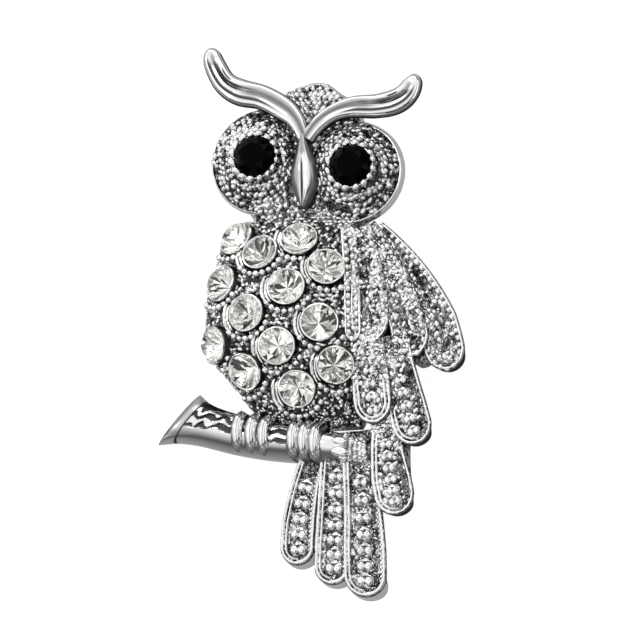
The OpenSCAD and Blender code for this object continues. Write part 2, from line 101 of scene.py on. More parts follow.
# Feathers: root, bend and tip as shares, width share, root's share of that, tops at root and tip as shares
WING = [[[0.16, 0.03], [0.76, 0.24], [0.868, 0.517], 1.02, 0.25, 0.8, 0.58],
    [[0.01, 0.04], [0.42, 0.23], [0.515, 0.47], 0.92, 0.7, 0.9, 0.73],
    [[-0.02, 0.04], [0.09, 0.22], [0.068, 0.425], 0.95, 0.6, 1.02, 0.95],
    [[-0.16, 0.03], [-0.1, 0.2], [-0.098, 0.42], 0.42, 0.8, 1.05, 1],
    [[0.29, 0.4], [0.39, 0.59], [0.55, 0.757], 0.98, 0.8, 0.8, 0.68],
    [[0.03, 0.37], [0.06, 0.53], [0.12, 0.688], 0.96, 0.85, 0.95, 0.86],
    [[0.2, 0.65], [0.215, 0.83], [0.345, 0.982], 1, 0.62, 0.7, 0.64]]
TAIL = [[[-0.22, -0.16], [-0.88, 0.34], [-0.865, 0.745], 0.86, 0.7, 0.61, 0.18],
    [[0.11, -0.18], [-0.02, 0.47], [-0.155, 0.89], 0.88, 0.82, 0.74, 0.06],
    [[0.57, -0.18], [0.7, 0.52], [0.57, 0.985], 1.08, 0.74, 0.84, 0]]
# Length of a feather's round tip in half widths, and where along it the blade has its whole width
TIP_ROUND = 1.15
ROOT_SHARE = 0.8
# Plate that carries the feathers: place as shares of the wing's reach and length, half width as a share of the
# reach, share of the relief
WING_PLATE = np.array([[0.08, 0.03, 0.12, 0.55], [0.25, 0.12, 0.2, 0.62], [0.35, 0.26, 0.33, 0.5],
    [0.42, 0.38, 0.42, 0.42], [0.26, 0.46, 0.24, 0.36], [0.26, 0.62, 0.22, 0.36], [0.27, 0.76, 0.16, 0.36],
    [0.33, 0.93, 0.12, 0.36]])
# Branch: low edge, then high edge, each as shares of its length and width, and its share of the relief
BRANCH = np.array([[-0.075, -0.64, 0.085, 0.78, 0.62], [0.03, -0.53, 0.15, 0.58, 0.7],
    [0.14, -0.52, 0.24, 0.46, 0.8], [0.31, -0.6, 0.36, 0.39, 0.86], [0.47, -0.62, 0.5, 0.37, 0.92],
    [0.64, -0.57, 0.65, 0.35, 0.98], [0.84, -0.46, 0.84, 0.3, 1], [1, -0.4, 0.97, 0.25, 0.9]])
BRANCH_SLOPE = np.radians(-11)
# Toes: place of each along the branch, then a toe's rows, as shares of the branch's length, width and relief
TOES = [0.355, 0.425, 0.49, 0.64, 0.695, 0.75]
TOE = np.array([[0.004, 0.42, 0.92], [-0.012, 0.2, 1.17], [-0.012, -0.1, 1.22], [0.003, -0.38, 1.08],
    [0.028, -0.53, 0.7]])
# Section of a domed strip: place across from -1 to 1, share of its height
DOME_SECTION = np.array([[-1, 0.4], [-0.86, 0.72], [-0.5, 0.93], [0, 1], [0.5, 0.93], [0.86, 0.72], [1, 0.4]])


def length(name, description, millimetres):
    """A size for the panel, given in millimetres."""
    return FloatProperty(name=name, description=description, default=millimetres * MM, min=0, unit="LENGTH")


class OwlSizes(bpy.types.PropertyGroup):
    """Sizes of the casting and of its stones."""

    back_gap: length("Back gap", "Height of the casting's back rim above the table", 3.3)
    wall: length("Wall", "Thickness of the metal over the hollow back", 1.9)
    edge_h: length("Edge height", "Straight side of the belly before it domes", 1.3)
    belly_w: length("Belly width", "Width of the belly", 20.2)
    belly_h: length("Belly height", "Height of the belly from the branch to the neck", 24.6)
    belly_relief: length("Belly relief", "Relief of the belly above the back rim", 6.2)
    head_w: length("Head width", "Width of the head over both face discs", 22.2)
    head_h: length("Head height", "Height of the head from the neck to the crown", 16.4)
    head_relief: length("Head relief", "Relief of the horns where they meet", 6)
    disc_r: length("Disc radius", "Radius of a face disc", 6.2)
    disc_relief: length("Disc relief", "Relief of a face disc at the eye", 4.5)
    horn_w: length("Horn width", "Widest part of a brow horn", 3)
    horn_t: length("Horn thickness", "Thickness of a brow horn", 2.9)
    beak_w: length("Beak width", "Widest part of the beak", 3.1)
    beak_t: length("Beak thickness", "Height of the beak's sides below its ridge", 4)
    belly_stone_d: length("Belly stone", "Diameter of a clear stone", 3.9)
    eye_stone_d: length("Eye stone", "Diameter of a black stone", 4.7)
    cup_wall: length("Cup wall", "Wall of a stone's cup", 0.3)
    seat_up: length("Seat", "Height of a stone's widest line above the metal", 0.45)
    seat_gap: length("Seat gap", "Clearance between a stone and its cup", 0.05)
    wing_w: length("Wing reach", "Reach of the wing to the right of the shoulder", 10.6)
    wing_l: length("Wing length", "Length of the wing from the shoulder to the lowest tip", 34)
    wing_feather_w: length("Wing feather width", "Width of a wing feather", 4.2)
    wing_feather_t: length("Wing feather thickness", "Thickness of a wing feather", 2.2)
    wing_relief: length("Wing relief", "Relief of the highest wing feather", 4.5)
    tail_w: length("Tail width", "Width of the tail", 10.4)
    tail_l: length("Tail length", "Length of the tail below the branch", 15.5)
    tail_feather_w: length("Tail feather width", "Width of a tail feather", 4.2)
    tail_feather_t: length("Tail feather thickness", "Thickness of a tail feather", 2.5)
    bead_r: length("Bead radius", "Radius of the paired beads on the feathers", 0.36)
    grain: length("Grain depth", "Depth of the cast grain between the beads", 0.17)
    branch_l: length("Branch length", "Length of the branch from its cut end to the tail", 23)
    branch_w: length("Branch width", "Width of the branch where the claws hold it", 4.4)
    branch_relief: length("Branch relief", "Relief of the branch above the back rim", 4)
    toe_w: length("Toe width", "Width of a toe", 1.4)
    toe_t: length("Toe thickness", "Thickness of a toe", 2.4)


class OwlFinish(bpy.types.PropertyGroup):
    """Colours and counts of the brooch."""

    metal: FloatVectorProperty(name="Plating", description="Colour of the bright plating", subtype="COLOR",
                               size=3, default=(0.84, 0.84, 0.83), min=0, max=1)
    # Colour of the painted shade in creases, hollows, grooves and on walls
    recess: FloatVectorProperty(name="Recess", description="Colour of the darkened recesses", subtype="COLOR",
                                size=3, default=(0.025, 0.025, 0.024), min=0, max=1)
    glass: FloatVectorProperty(name="Clear stones", description="Colour of the clear glass", subtype="COLOR",
                               size=3, default=(0.97, 0.98, 0.96), min=0, max=1)
    jet: FloatVectorProperty(name="Black stones", description="Colour of the black glass", subtype="COLOR",
                             size=3, default=(0.001, 0.001, 0.0011), min=0, max=1)
    eye_beads: IntProperty(name="Eye beads", description="Beads in the ring round an eye", default=16, min=8)


class OwlStudio(bpy.types.PropertyGroup):
    """Camera and lights."""

    turn: FloatProperty(name="Turn", description="Camera's turn to the owl's right of view", subtype="ANGLE",
                        default=np.radians(14))
    drop: FloatProperty(name="Drop", description="Camera's lean towards the owl's tail", subtype="ANGLE",
                        default=np.radians(13))
    view_width: length("View width", "Width of the picture at the brooch", 72)
    lens: FloatProperty(name="Lens", description="Focal length of the camera in millimetres", default=200,
                        min=1)


# Sizes and places in millimetres


def sizes():
    """The panel's sizes in millimetres, with the places on the plan that follow from them."""
    group = bpy.context.scene.owl_sizes
    s = SimpleNamespace(**{name: getattr(group, name) / MM for name in OwlSizes.__annotations__})
    s.belly_half = np.array([s.belly_w, s.belly_h]) / 2
    s.head_half = np.array([s.head_w, s.head_h]) / 2
    up = np.array([0, s.belly_half[1]])
    s.head = BELLY_MIDDLE + up + TO_HEAD
    s.shoulder = BELLY_MIDDLE + s.belly_half + TO_SHOULDER
    s.tail = BELLY_MIDDLE - up + TO_TAIL
    s.branch = BELLY_MIDDLE - up + TO_BRANCH
    s.wing_size = np.array([s.wing_w, -s.wing_l])
    s.tail_size = np.array([s.tail_w / 2, -s.tail_l])
    s.rim = s.back_gap
    return s


def plan_shift(s):
    """Step from the casting's plan to the frame: an eye stone's middle there less its place on the plan."""
    low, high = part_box("eye_stone_left")
    middle = np.array((low + high) / 2)[:2] / MM
    return np.append(middle - (s.head + s.head_half * EYES[0]), 0)


# Curves and noise


def through(table, count):
    """Smooth curve through a table's rows: a Catmull-Rom cubic between each two rows, at count even steps."""
    p = np.asarray(table, float)
    t = np.linspace(0, len(p) - 1, count)
    i = np.clip(t.astype(int), 0, len(p) - 2)
    f = (t - i)[:, None]
    a, b, c, d = p[np.maximum(i - 1, 0)], p[i], p[i + 1], p[np.minimum(i + 2, len(p) - 1)]
    return 0.5 * (2 * b + (c - a) * f + (2 * a - 5 * b + 4 * c - d) * f**2 + (3 * b - a - 3 * c + d) * f**3)


def lookup(x, xs, ys):
    """Smooth value at x: a Hermite cubic between the points, with the slope of its neighbours at each."""
    xs, ys = np.asarray(xs, float), np.asarray(ys, float)
    x = np.clip(x, xs[0], xs[-1])
    slope = np.gradient(ys, xs)
    i = np.clip(np.searchsorted(xs, x, side="right") - 1, 0, len(xs) - 2)
    step = xs[i + 1] - xs[i]
    f = (x - xs[i]) / step
    return ((2 * f**3 - 3 * f**2 + 1) * ys[i] + (f**3 - 2 * f**2 + f) * step * slope[i]
            + (3 * f**2 - 2 * f**3) * ys[i + 1] + (f**3 - f**2) * step * slope[i + 1])


# The mesh attribute that the platings read is painted shade. It is 0 on smooth metal, the first mark on cast
# grain, where it marks the grain but paints no shade yet, and 1 in a crease painted black. From the second mark
# up it is a smooth dark line or wall of painted shade, without grain.
GRAIN_MARK = 0.3
WALL_MARK = 0.84
# Depth of the cast relief on the body and in the feathers' beds, in times of the grain's depth
CAST_DEPTH = 2.3
BED_DEPTH = 1.5
# Where the painted shade in a cast grain's creases starts and where it is black: shares of its depth below its
# lumps, negated
CROWN_CREASE = (-0.62, -0.2)
BELLY_CREASE = (-0.86, -0.44)
FACE_CREASE = (-0.84, -0.42)
BED_CREASE = (-0.22, -0.08)
# Painted shade on the walls below polished strips
WALL_DARK = 0.95


def ramp(x, low, high):
    """Smooth step from 0 at low to 1 at high."""
    f = np.clip((x - low) / (high - low), 0, 1)
    return f * f * (3 - 2 * f)


# How a cell's coordinates and a seed are mixed into an angle, and how far its sine is spread
MIX = np.array([[127.1, 269.5, 113.5], [311.7, 183.3, 271.9], [74.7, 246.1, 124.6]])
SEED_STEP = 17.3
SINE_SPREAD = 43758.5453


def dice(cells, seed):
    """Three even random numbers for each whole-number cell: the fractions of large sines of its coordinates."""
    value = np.sin(cells @ MIX + seed * SEED_STEP) * SINE_SPREAD
    return value - np.floor(value)


def luck_for(count, second, third, seed):
    """Three even random numbers for each of a count of things, by its index and two more whole numbers."""
    return dice(np.column_stack(np.broadcast_arrays(np.arange(count), second, third)) * 1.0, seed)


def plan_ways(turn):
    """Directions on the plan at the given angles."""
    return np.stack([np.cos(turn), np.sin(turn), 0 * turn], axis=-1)


def ring_ways(turn):
    """Directions on the plan along a ring, at the given angles round it."""
    return np.stack([-np.sin(turn), np.cos(turn), 0 * turn], axis=-1)


# Pebbles, in pitches: how far their middles scatter, and the squared distance at which their height is none
SCATTER = 0.8
PEBBLE_END = 0.45


def pebbles(points, pitch, seed):
    """Height from 0 to 1 of round pebbles packed in space: each point's squared distance to the nearest pebble
    middle, one of which is scattered in each cube of the pitch, is taken from 1."""
    q = points / pitch
    base = np.floor(q)
    nearest = np.full(q.shape[:-1], 9.0)
    for step in product((-1, 0, 1), repeat=3):
        cell = base + step
        middle = cell + 0.5 + SCATTER * (dice(cell, seed) - 0.5)
        nearest = np.minimum(nearest, ((q - middle) ** 2).sum(-1))
    return np.clip(1 - nearest / PEBBLE_END, 0, 1)


def waves(points, pitch, seed):
    """Soft noise from -1 to 1: random values on the corners of a lattice, blended smoothly between them."""
    q = points / pitch
    base = np.floor(q)
    f = q - base
    f = f * f * (3 - 2 * f)
    total = np.zeros(q.shape[:-1])
    for step in product((0, 1), repeat=3):
        weight = np.prod(np.where(np.array(step) == 1, f, 1 - f), axis=-1)
        total += weight * dice(base + step, seed)[..., 0]
    return 2 * total - 1


# Cast grain: reach and pitch of the noise that bends its space, and pitch of the creases' noise, in times of
# its own pitch, then the creases' width and depth, and the lift and power that flatten its lumps
BEND_REACH, BEND_PITCH = 0.4, 1.4
CREASE_PITCH, CREASE_WIDTH, CREASE_DEPTH = 0.95, 0.13, 0.55
LUMP_LIFT, LUMP_POWER = 0.15, 0.8


def cast(points, pitch, seed):
    """Height from 0 to 1 of a cast grain: pebbles that touch, in a space bent by soft noise, cut by thin
    winding creases where another soft noise is near none."""
    bend = np.stack([waves(points, pitch * BEND_PITCH, seed + k) for k in (1, 2, 3)], axis=-1)
    lump = pebbles(points + BEND_REACH * pitch * bend, pitch, seed) ** LUMP_POWER
    crease = np.exp(-(waves(points, pitch * CREASE_PITCH, seed + 7) / CREASE_WIDTH) ** 2)
    return np.clip(lump + LUMP_LIFT - CREASE_DEPTH * crease, 0, 1)


def cast_shade(level, crease):
    """Painted shade of a cast grain: the least value, which marks it as grain and paints no shade, on its
    lumps, and black in its creases.
    """
    return GRAIN_MARK + (1 - GRAIN_MARK) * ramp(-level, *crease)


def unit(v):
    """Vectors made one long."""
    return v / np.maximum(np.linalg.norm(v, axis=-1, keepdims=True), 1e-9)


def grid_normals(grid):
    """Normals of a grid of points: the cross product of its two directions."""
    return unit(np.cross(np.gradient(grid, axis=1), np.gradient(grid, axis=0)))


def edge_distance(points, line):
    """Distance on the plan from each point to a line of points: the least distance to any of its segments."""
    flat = points[..., :2].reshape(-1, 1, 2)
    a, b = line[:-1, :2], line[1:, :2]
    along = b - a
    share = np.clip(((flat - a) * along).sum(-1) / np.maximum((along**2).sum(-1), 1e-12), 0, 1)
    gap = np.linalg.norm(flat - (a + share[..., None] * along), axis=-1)
    return gap.min(axis=1).reshape(points.shape[:-1])


def rows_at(x, xs, table):
    """Rows of a table at x, linear between its rows at xs."""
    return np.stack([np.interp(x, xs, table[:, k]) for k in range(table.shape[1])], axis=1)


def right_of(way):
    """Directions on the plan to the right of the given ones."""
    return np.stack([way[:, 1], -way[:, 0]], axis=1)


def spread(count, reach):
    """Places from -1 to 1, closer towards both ends: the sines of even steps up to the reach, over its sine."""
    return np.sin(np.linspace(-1, 1, count) * reach) / np.sin(reach)


def evenly(line, pitch):
    """Places along a line of points at an even pitch, and the line's direction at each."""
    steps = np.linalg.norm(np.diff(line, axis=0), axis=1)
    reach = np.concatenate([[0], np.cumsum(steps)])
    at = np.arange(0.0, reach[-1], pitch)
    step = 0.05
    return rows_at(at, reach, line), unit(rows_at(at + step, reach, line) - rows_at(at - step, reach, line))


# Meshes


def wrapped_faces(rows, cols):
    """Quads of a grid whose columns close into rings."""
    i, j = np.meshgrid(np.arange(rows - 1), np.arange(cols), indexing="ij")
    k = (j + 1) % cols
    corners = [i * cols + j, (i + 1) * cols + j, (i + 1) * cols + k, i * cols + k]
    return np.stack(corners, axis=-1).reshape(-1, 4)


def skin(rings, shade=None):
    """Closed skin over rings with as many points each: quads between rings, a fan on each end."""
    rows, cols = rings.shape[:2]
    ends = np.stack([rings[0].mean(axis=0), rings[-1].mean(axis=0)])
    points = np.concatenate([rings.reshape(-1, 3), ends])
    j = np.arange(cols)
    k = (j + 1) % cols
    first = np.stack([np.full(cols, rows * cols), j, k], axis=1)
    last = np.stack([np.full(cols, rows * cols + 1), (rows - 1) * cols + k, (rows - 1) * cols + j], axis=1)
    if shade is not None:
        shade = np.concatenate([shade.reshape(-1), [0, 0]])
    return SimpleNamespace(points=points, faces=[wrapped_faces(rows, cols), first, last], shade=shade)


def joined(shapes):
    """Several shapes as one, with each one's faces counted on from the last one's points."""
    points, faces, shade, count = [], [], [], 0
    for shape in shapes:
        points.append(shape.points)
        faces += [f + count for f in shape.faces]
        shade.append(np.zeros(len(shape.points)) if shape.shade is None else shape.shade)
        count += len(shape.points)
    return SimpleNamespace(points=np.concatenate(points), faces=faces, shade=np.concatenate(shade))


def turned_out(shape):
    """The shape's faces with their fronts outwards: all are turned round if they enclose a negative volume."""
    total = 0.0
    for faces in shape.faces:
        a = shape.points[faces[:, 0]]
        for n in range(1, faces.shape[1] - 1):
            b, c = shape.points[faces[:, n]], shape.points[faces[:, n + 1]]
            total += np.einsum("ij,ij->", a, np.cross(b, c))
    return [faces[:, ::-1] for faces in shape.faces] if total < 0 else shape.faces


def make_mesh(name, shape, sharp=None):
    """Mesh of a shape in the frame's metres, smooth but for the edges that turn more than the sharp angle."""
    s = sizes()
    mesh = bpy.data.meshes.new(name)
    faces = [face for part in turned_out(shape) for face in part.tolist()]
    mesh.from_pydata(((shape.points + plan_shift(s)) * MM).tolist(), [], faces)
    if sharp is None:
        mesh.polygons.foreach_set("use_smooth", np.zeros(len(mesh.polygons), bool))
    else:
        mesh.polygons.foreach_set("use_smooth", np.ones(len(mesh.polygons), bool))
        mesh.set_sharp_from_angle(angle=np.radians(sharp))
    if shape.shade is not None:
        attribute = mesh.attributes.new("recess", "FLOAT", "POINT")
        attribute.data.foreach_set("value", np.asarray(shape.shade, np.float32))
    mesh.update()
    return mesh


def add_piece(name, shape, material, node="owl_casting", sharp=40):
    """New piece that stands for a node of the frame, rides on its body and has a material."""
    mesh = make_mesh(name, shape, sharp)
    piece = bpy.data.objects.new(name, mesh)
    bpy.context.scene.collection.objects.link(piece)
    for m in np.atleast_1d(material):
        mesh.materials.append(m)
    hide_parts(node)
    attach(piece, "root")
    return piece


def set_facet_reflections(piece, reflections):
    """Gives each face of a piece its value for its material: painted reflection in a foil, how strongly black
    glass mirrors.
    """
    piece.data.attributes.new("tone", "FLOAT", "FACE").data.foreach_set("value", reflections.astype(np.float32))


def cut_away(piece, cutters):
    """Takes the cutters' volumes out of a piece for good."""
    for cutter in cutters:
        modifier = piece.modifiers.new("hollow", "BOOLEAN")
        modifier.object = cutter
        modifier.operation = "DIFFERENCE"
        modifier.solver = "MANIFOLD"
    graph = bpy.context.evaluated_depsgraph_get()
    mesh = bpy.data.meshes.new_from_object(piece.evaluated_get(graph))
    piece.modifiers.clear()
    old = piece.data
    piece.data = mesh
    name = old.name
    bpy.data.meshes.remove(old)
    mesh.name = name


# Shapes that several pieces share


# Places across a strip
STRIP_ACROSS = spread(57, 1.4)


def rounded(u, power):
    """Height of a round section at the place u from -1 to 1: a circle's for a power of 2, boxier above."""
    return np.sqrt(np.clip(1 - np.abs(u) ** power, 0, 1))


def strip_stations(rows, count):
    """Rows [x, y, half width, low, high] of a strip, smoothed, with the direction across at each."""
    r = through(rows, count)
    return r, right_of(unit(np.gradient(r[:, :2], axis=0)))


def domed(u, _):
    """Height shares of a domed strip's section, the same all along it."""
    return lookup(u, DOME_SECTION[:, 0], DOME_SECTION[:, 1])


def leaning_wall(edge, low, side, drop, undercut):
    """Rows of a wall below a strip's left edge (side 1) or right edge (side -1), at shares of its drop from 0
    at the low height to 1 at the edge. It goes in across the edge's direction by the undercut's share."""
    inward = side * right_of(unit(np.gradient(edge[:, :2], axis=0)))
    rows = []
    for share in drop:
        fall = (edge[:, 2] - low) * (1 - share)
        rows.append(np.column_stack([edge[:, :2] + inward * (undercut * fall)[:, None], edge[:, 2] - fall]))
    return np.stack(rows, axis=1)


# Share of a strip's height that is left at its tip, and the most that its walls go in, in half widths
TIP_KEEPS = 0.35
MOST_UNDERCUT = 0.3


def strip(rows, count, section, walls=2, tip=0.0, undercut=0.0):
    """Strip along a path: at each row the section's height shares are set across the path on both sides.

    section(u, t) gives the height share of the top at the place u from -1 to 1 across and t from 0 to 1 along.
    The walls drop from the top's edges to the low height, going in by the undercut's share of the drop, and the
    bottom is flat. Over the last share of the length, the tip, the width and height shrink as a quarter circle
    does."""
    r, across = strip_stations(rows, count)
    t = np.linspace(0, 1, count)
    share = section(*np.meshgrid(STRIP_ACROSS, t))
    end = np.sqrt(np.clip(1 - (np.clip(t - 1 + tip, 0, None) / max(tip, 1e-6)) ** 2, 0.004, 1))
    half = np.maximum(r[:, 2] * end, 0.01)
    xy = r[:, None, :2] + across[:, None, :] * (half[:, None] * STRIP_ACROSS)[..., None]
    z = r[:, 3, None] + ((r[:, 4] - r[:, 3]) * (TIP_KEEPS + (1 - TIP_KEEPS) * end))[:, None] * share
    top = np.concatenate([xy, z[..., None]], axis=-1)
    drop = np.linspace(0, 1, walls + 1)[:-1]
    undercut = np.minimum(undercut, MOST_UNDERCUT * r[:, 2])
    left = leaning_wall(top[:, 0], r[:, 3], 1, drop, undercut)
    right = leaning_wall(top[:, -1], r[:, 3], -1, drop[::-1], undercut)
    return np.concatenate([left, top, right], axis=1), slice(walls, walls + len(STRIP_ACROSS))


def painted(*bands):
    """Shade of soft bands: each has a strength, a coordinate, its place and its half width, and the strongest
    counts. A band's shade is a bell curve of the distance from its place."""
    shades = [strength * np.exp(-((x - place) / half) ** 2) for strength, x, place, half in bands]
    return np.maximum.reduce(np.broadcast_arrays(*shades))


# Shares of the length for a band that is whole from the root, and for one that doesn't fade
FROM_ROOT = (-2, -1)
TO_TIP = (2, 3)


def polished(rings, top, bands, side=1, ends=()):
    """Skin of a strip with painted shade, dark on its walls and in soft bands along its top. A band has a
    strength, the shares of the length between which it grows, those between which it fades, its place across at
    the root and the tip, and its half width. An end is a band across the strip: its strength, its place along,
    its half width."""
    u, t = STRIP_ACROSS[None], np.linspace(0, 1, len(rings))[:, None]
    along = [(strength * ramp(t, *grows) * (1 - ramp(t, *fades)), side * u, root + (tip - root) * t, half)
             for strength, grows, fades, root, tip, half in bands]
    shade = np.full(rings.shape[:2], WALL_DARK)
    shade[:, top] = painted(*along, *((strength, t, place, half) for strength, place, half in ends))
    return skin(rings, shade)


# Latitudes of a bead's rings, and points in each
BEAD_RINGS = np.radians([62, 34, 5, -35])
BEAD_SIDES = 10


def bead_template():
    """Bead of unit radius: a ring of points at each latitude and a point on top, flat below."""
    turn = np.arange(BEAD_SIDES) * 2 * np.pi / BEAD_SIDES
    rings = [np.stack([np.cos(a) * np.cos(turn), np.cos(a) * np.sin(turn), 0 * turn + np.sin(a)], axis=1)
             for a in BEAD_RINGS]
    points = np.concatenate(rings + [[[0, 0, 1.0]]])
    j = np.arange(BEAD_SIDES)
    k = (j + 1) % BEAD_SIDES
    bands = np.concatenate([np.stack([n * BEAD_SIDES + j, (n + 1) * BEAD_SIDES + j, (n + 1) * BEAD_SIDES + k,
                                      n * BEAD_SIDES + k], axis=1) for n in range(len(BEAD_RINGS) - 1)])
    top = np.stack([np.full(BEAD_SIDES, len(points) - 1), j, k], axis=1)
    bottom = (len(BEAD_RINGS) - 1) * BEAD_SIDES + j[::-1][None, :]
    return points, [bands, top, bottom]


def beads(middles, radii, ups=None, ways=None, stretch=1.0, flat=1.0):
    """Many beads as one shape: the unit bead scaled by each radius, stretched along each way, flattened, and
    stood on the surface whose outward direction is up."""
    middles = np.asarray(middles, float)
    count = len(middles)
    radii = np.broadcast_to(radii, count)
    ups = np.broadcast_to([0.0, 0, 1] if ups is None else ups, (count, 3))
    ways = np.broadcast_to([1.0, 0, 0] if ways is None else ways, (count, 3))
    side = unit(np.cross(ups, ways))
    ahead = np.cross(side, ups) * np.broadcast_to(stretch, count)[:, None]
    ups = ups * flat
    template, faces = bead_template()
    points = middles[:, None] + radii[:, None, None] * (
        template[None, :, 0, None] * ahead[:, None] + template[None, :, 1, None] * side[:, None]
        + template[None, :, 2, None] * ups[:, None])
    step = np.arange(count)[:, None, None] * len(template)
    return SimpleNamespace(points=points.reshape(-1, 3), shade=None,
                           faces=[(f[None] + step).reshape(-1, f.shape[1]) for f in faces])


def round_bar(line, radius, sides=8, ups=None):
    """Round bar along a line of points, thinner towards its two ends: circles across the line at each point."""
    way = unit(np.gradient(line, axis=0))
    up = np.broadcast_to([0.0, 0, 1] if ups is None else ups, line.shape)
    side = unit(np.cross(way, up))
    top = np.cross(side, way)
    turn = np.arange(sides) * 2 * np.pi / sides
    taper = np.sqrt(np.clip(1 - np.linspace(-1, 1, len(line)) ** 6, 0.05, 1)) * radius
    rings = line[:, None] + taper[:, None, None] * (np.cos(turn)[None, :, None] * side[:, None]
                                                   + np.sin(turn)[None, :, None] * top[:, None])
    return skin(rings)


# Belly


def belly_edges(s, v):
    """Left and right edge of the belly at shares of its half height."""
    left = BELLY_MIDDLE[0] + s.belly_half[0] * lookup(v, BELLY[:, 0], BELLY[:, 1])
    right = BELLY_MIDDLE[0] + s.belly_half[0] * lookup(v, BELLY[:, 0], BELLY[:, 2])
    return left, right


def dome(u, v):
    """Dome over a square: the product of two parabolas, raised to a power that makes it boxier."""
    return np.clip((1 - u * u) * (1 - v * v), 0, None) ** DOME_POWER


def belly_z(s, x, y):
    """Height of the belly's metal over places on the plan."""
    v = (y - BELLY_MIDDLE[1]) / s.belly_half[1]
    left = BELLY_MIDDLE[0] + s.belly_half[0] * np.interp(v, BELLY[:, 0], BELLY[:, 1])
    right = BELLY_MIDDLE[0] + s.belly_half[0] * np.interp(v, BELLY[:, 0], BELLY[:, 2])
    u = (2 * x - left - right) / (right - left)
    return s.rim + s.edge_h + (s.belly_relief - s.edge_h) * dome(u, v)


# Step for the slope of the belly's metal
SLOPE_STEP = 0.6


def belly_out(s, x, y):
    """Outward direction of the belly's metal, by its heights a step away on each side."""
    return unit(np.stack([belly_z(s, x - SLOPE_STEP, y) - belly_z(s, x + SLOPE_STEP, y),
                          belly_z(s, x, y - SLOPE_STEP) - belly_z(s, x, y + SLOPE_STEP),
                          np.full(np.shape(x), 2 * SLOPE_STEP)], axis=-1))


def belly_rings(s, rows, across, inset, low, edge, high):
    """Rings over the belly: flat sides up to the edge height, then the dome between its two edges."""
    v = spread(rows, 1.35)
    u = spread(across, 1.45)
    left, right = belly_edges(s, v)
    left, right = left + inset, right - inset
    x = left[:, None] + (right - left)[:, None] * (u + 1) / 2
    y = np.broadcast_to((BELLY_MIDDLE[1] + v * (s.belly_half[1] - inset))[:, None], x.shape)
    z = edge + (high - edge) * dome(u[None], v[:, None])
    top = np.stack([x, y, z], axis=-1)
    foot_left, foot_right = top[:, :1].copy(), top[:, -1:].copy()
    foot_left[..., 2] = foot_right[..., 2] = low
    return np.concatenate([foot_left, top, foot_right], axis=1)


def stone_frames(s):
    """Middle and outward direction of each belly stone."""
    plan = BELLY_MIDDLE + s.belly_half * STONE_PLACES
    out = belly_out(s, plan[:, 0], plan[:, 1])
    middle = np.concatenate([plan, belly_z(s, plan[:, 0], plan[:, 1])[:, None]], axis=1) + out * s.seat_up
    return middle, out


def eye_frames(s):
    """Middle and outward direction of each eye stone, left then right."""
    plan = s.head + s.head_half * EYES
    height = np.full((2, 1), s.rim + s.disc_relief + s.seat_up)
    return np.concatenate([plan, height], axis=1), np.broadcast_to([0.0, 0, 1], (2, 3))


def stand(points, middle, out):
    """Turns points drawn round +Z at the origin so that +Z points out, and moves them to the middle.
    Their -Y stays towards the owl's tail."""
    right = unit(np.cross([0.0, 1, 0], out))
    up = np.cross(out, right)
    return middle + points[..., :1] * right + points[..., 1:2] * up + points[..., 2:] * out


# Cup: its foot's depth below the metal, how far it widens down to it, the wall at its lip, points round it, and
# how much lower an eye's cup sits
CUP_FOOT = 0.9
CUP_FLARE = 0.13
RIM_WALL = 0.17
CUP_SIDES = 48
EYE_CUP_DROP = 0.3


def cup(s, diameter, middle, out, drop=0.0):
    """Stone's cup: a ring profile of wall, rounded lip and inner wall, turned round the stone's axis."""
    inner = diameter / 2 + 0.02
    outer = inner + RIM_WALL
    foot = s.seat_up + CUP_FOOT
    profile = np.array([[inner, -0.35], [inner, -0.06], [inner - 0.04, 0.02], [inner, 0.08],
        [inner + 0.07, 0.1], [outer - 0.03, 0.06], [outer, -0.04], [outer + 0.02, -0.2],
        [outer + CUP_FLARE, -foot], [inner, -foot]])
    profile[:, 1] -= drop
    turn = np.linspace(0, 2 * np.pi, CUP_SIDES + 1)[:-1]
    ring = np.stack([profile[:, 0, None] * np.cos(turn), profile[:, 0, None] * np.sin(turn),
                     np.broadcast_to(profile[:, 1, None], (len(profile), len(turn)))], axis=-1)
    grid = stand(ring, middle, out)
    rows, cols = grid.shape[:2]
    faces = wrapped_faces(rows + 1, cols) % (rows * cols)
    # Painted shade on the cup: dark on its inner and outer walls, half at the lip's edges, none on the lip's
    # top
    depth = np.array([1, 1, 0.5, 0, 0, 0, 0.5, 1, 1, 1.0])
    return SimpleNamespace(points=grid.reshape(-1, 3), faces=[faces], shade=np.repeat(depth, cols))


# Cone below a stone: its slope and its distance from the stone's back
POCKET_SLOPE = 0.84
POCKET_DROP = 0.16


def pocketed(points, middles, outs, radius):
    """Points of a surface pushed down into a cone under each stone, a little below the stone's own back."""
    for middle, out in zip(middles, outs):
        step = points - middle
        rise = step @ out
        away = np.linalg.norm(step - rise[..., None] * out, axis=-1)
        cone = -POCKET_DROP - POCKET_SLOPE * (radius - away)
        push = np.where(away < radius, np.minimum(cone - rise, 0), 0)
        points = points + push[..., None] * out
    return points


def drape(s, plan, lift):
    """Points of the belly's metal over places on the plan, lifted along its outward direction."""
    out = belly_out(s, plan[:, 0], plan[:, 1])
    return np.column_stack([plan, belly_z(s, plan[:, 0], plan[:, 1])]) + out * np.reshape(lift, (-1, 1)), out


# Arc of beads below a cup: their count, the arc's first and last angle, its reach past the cup, their radius
ARC_BEADS = 8
ARC_ANGLES = (-128, -18)
ARC_REACH = 0.56
ARC_R = 0.39
# Lips beside them: the arc's angles, the reach of each past the cup, their radius
LIP_ANGLES = (-196, -122)
LIP_REACHES = (0.14, 0.6)
LIP_R = 0.2
# Turn of both arcs towards the left, and how high the beads and the lips sit on the metal
ARC_TURN = -14
ARC_LIFT = 0.16
LIP_LIFT = 0.12
# Room that beads keep from the belly's edges
EDGE_CLEAR = 0.42


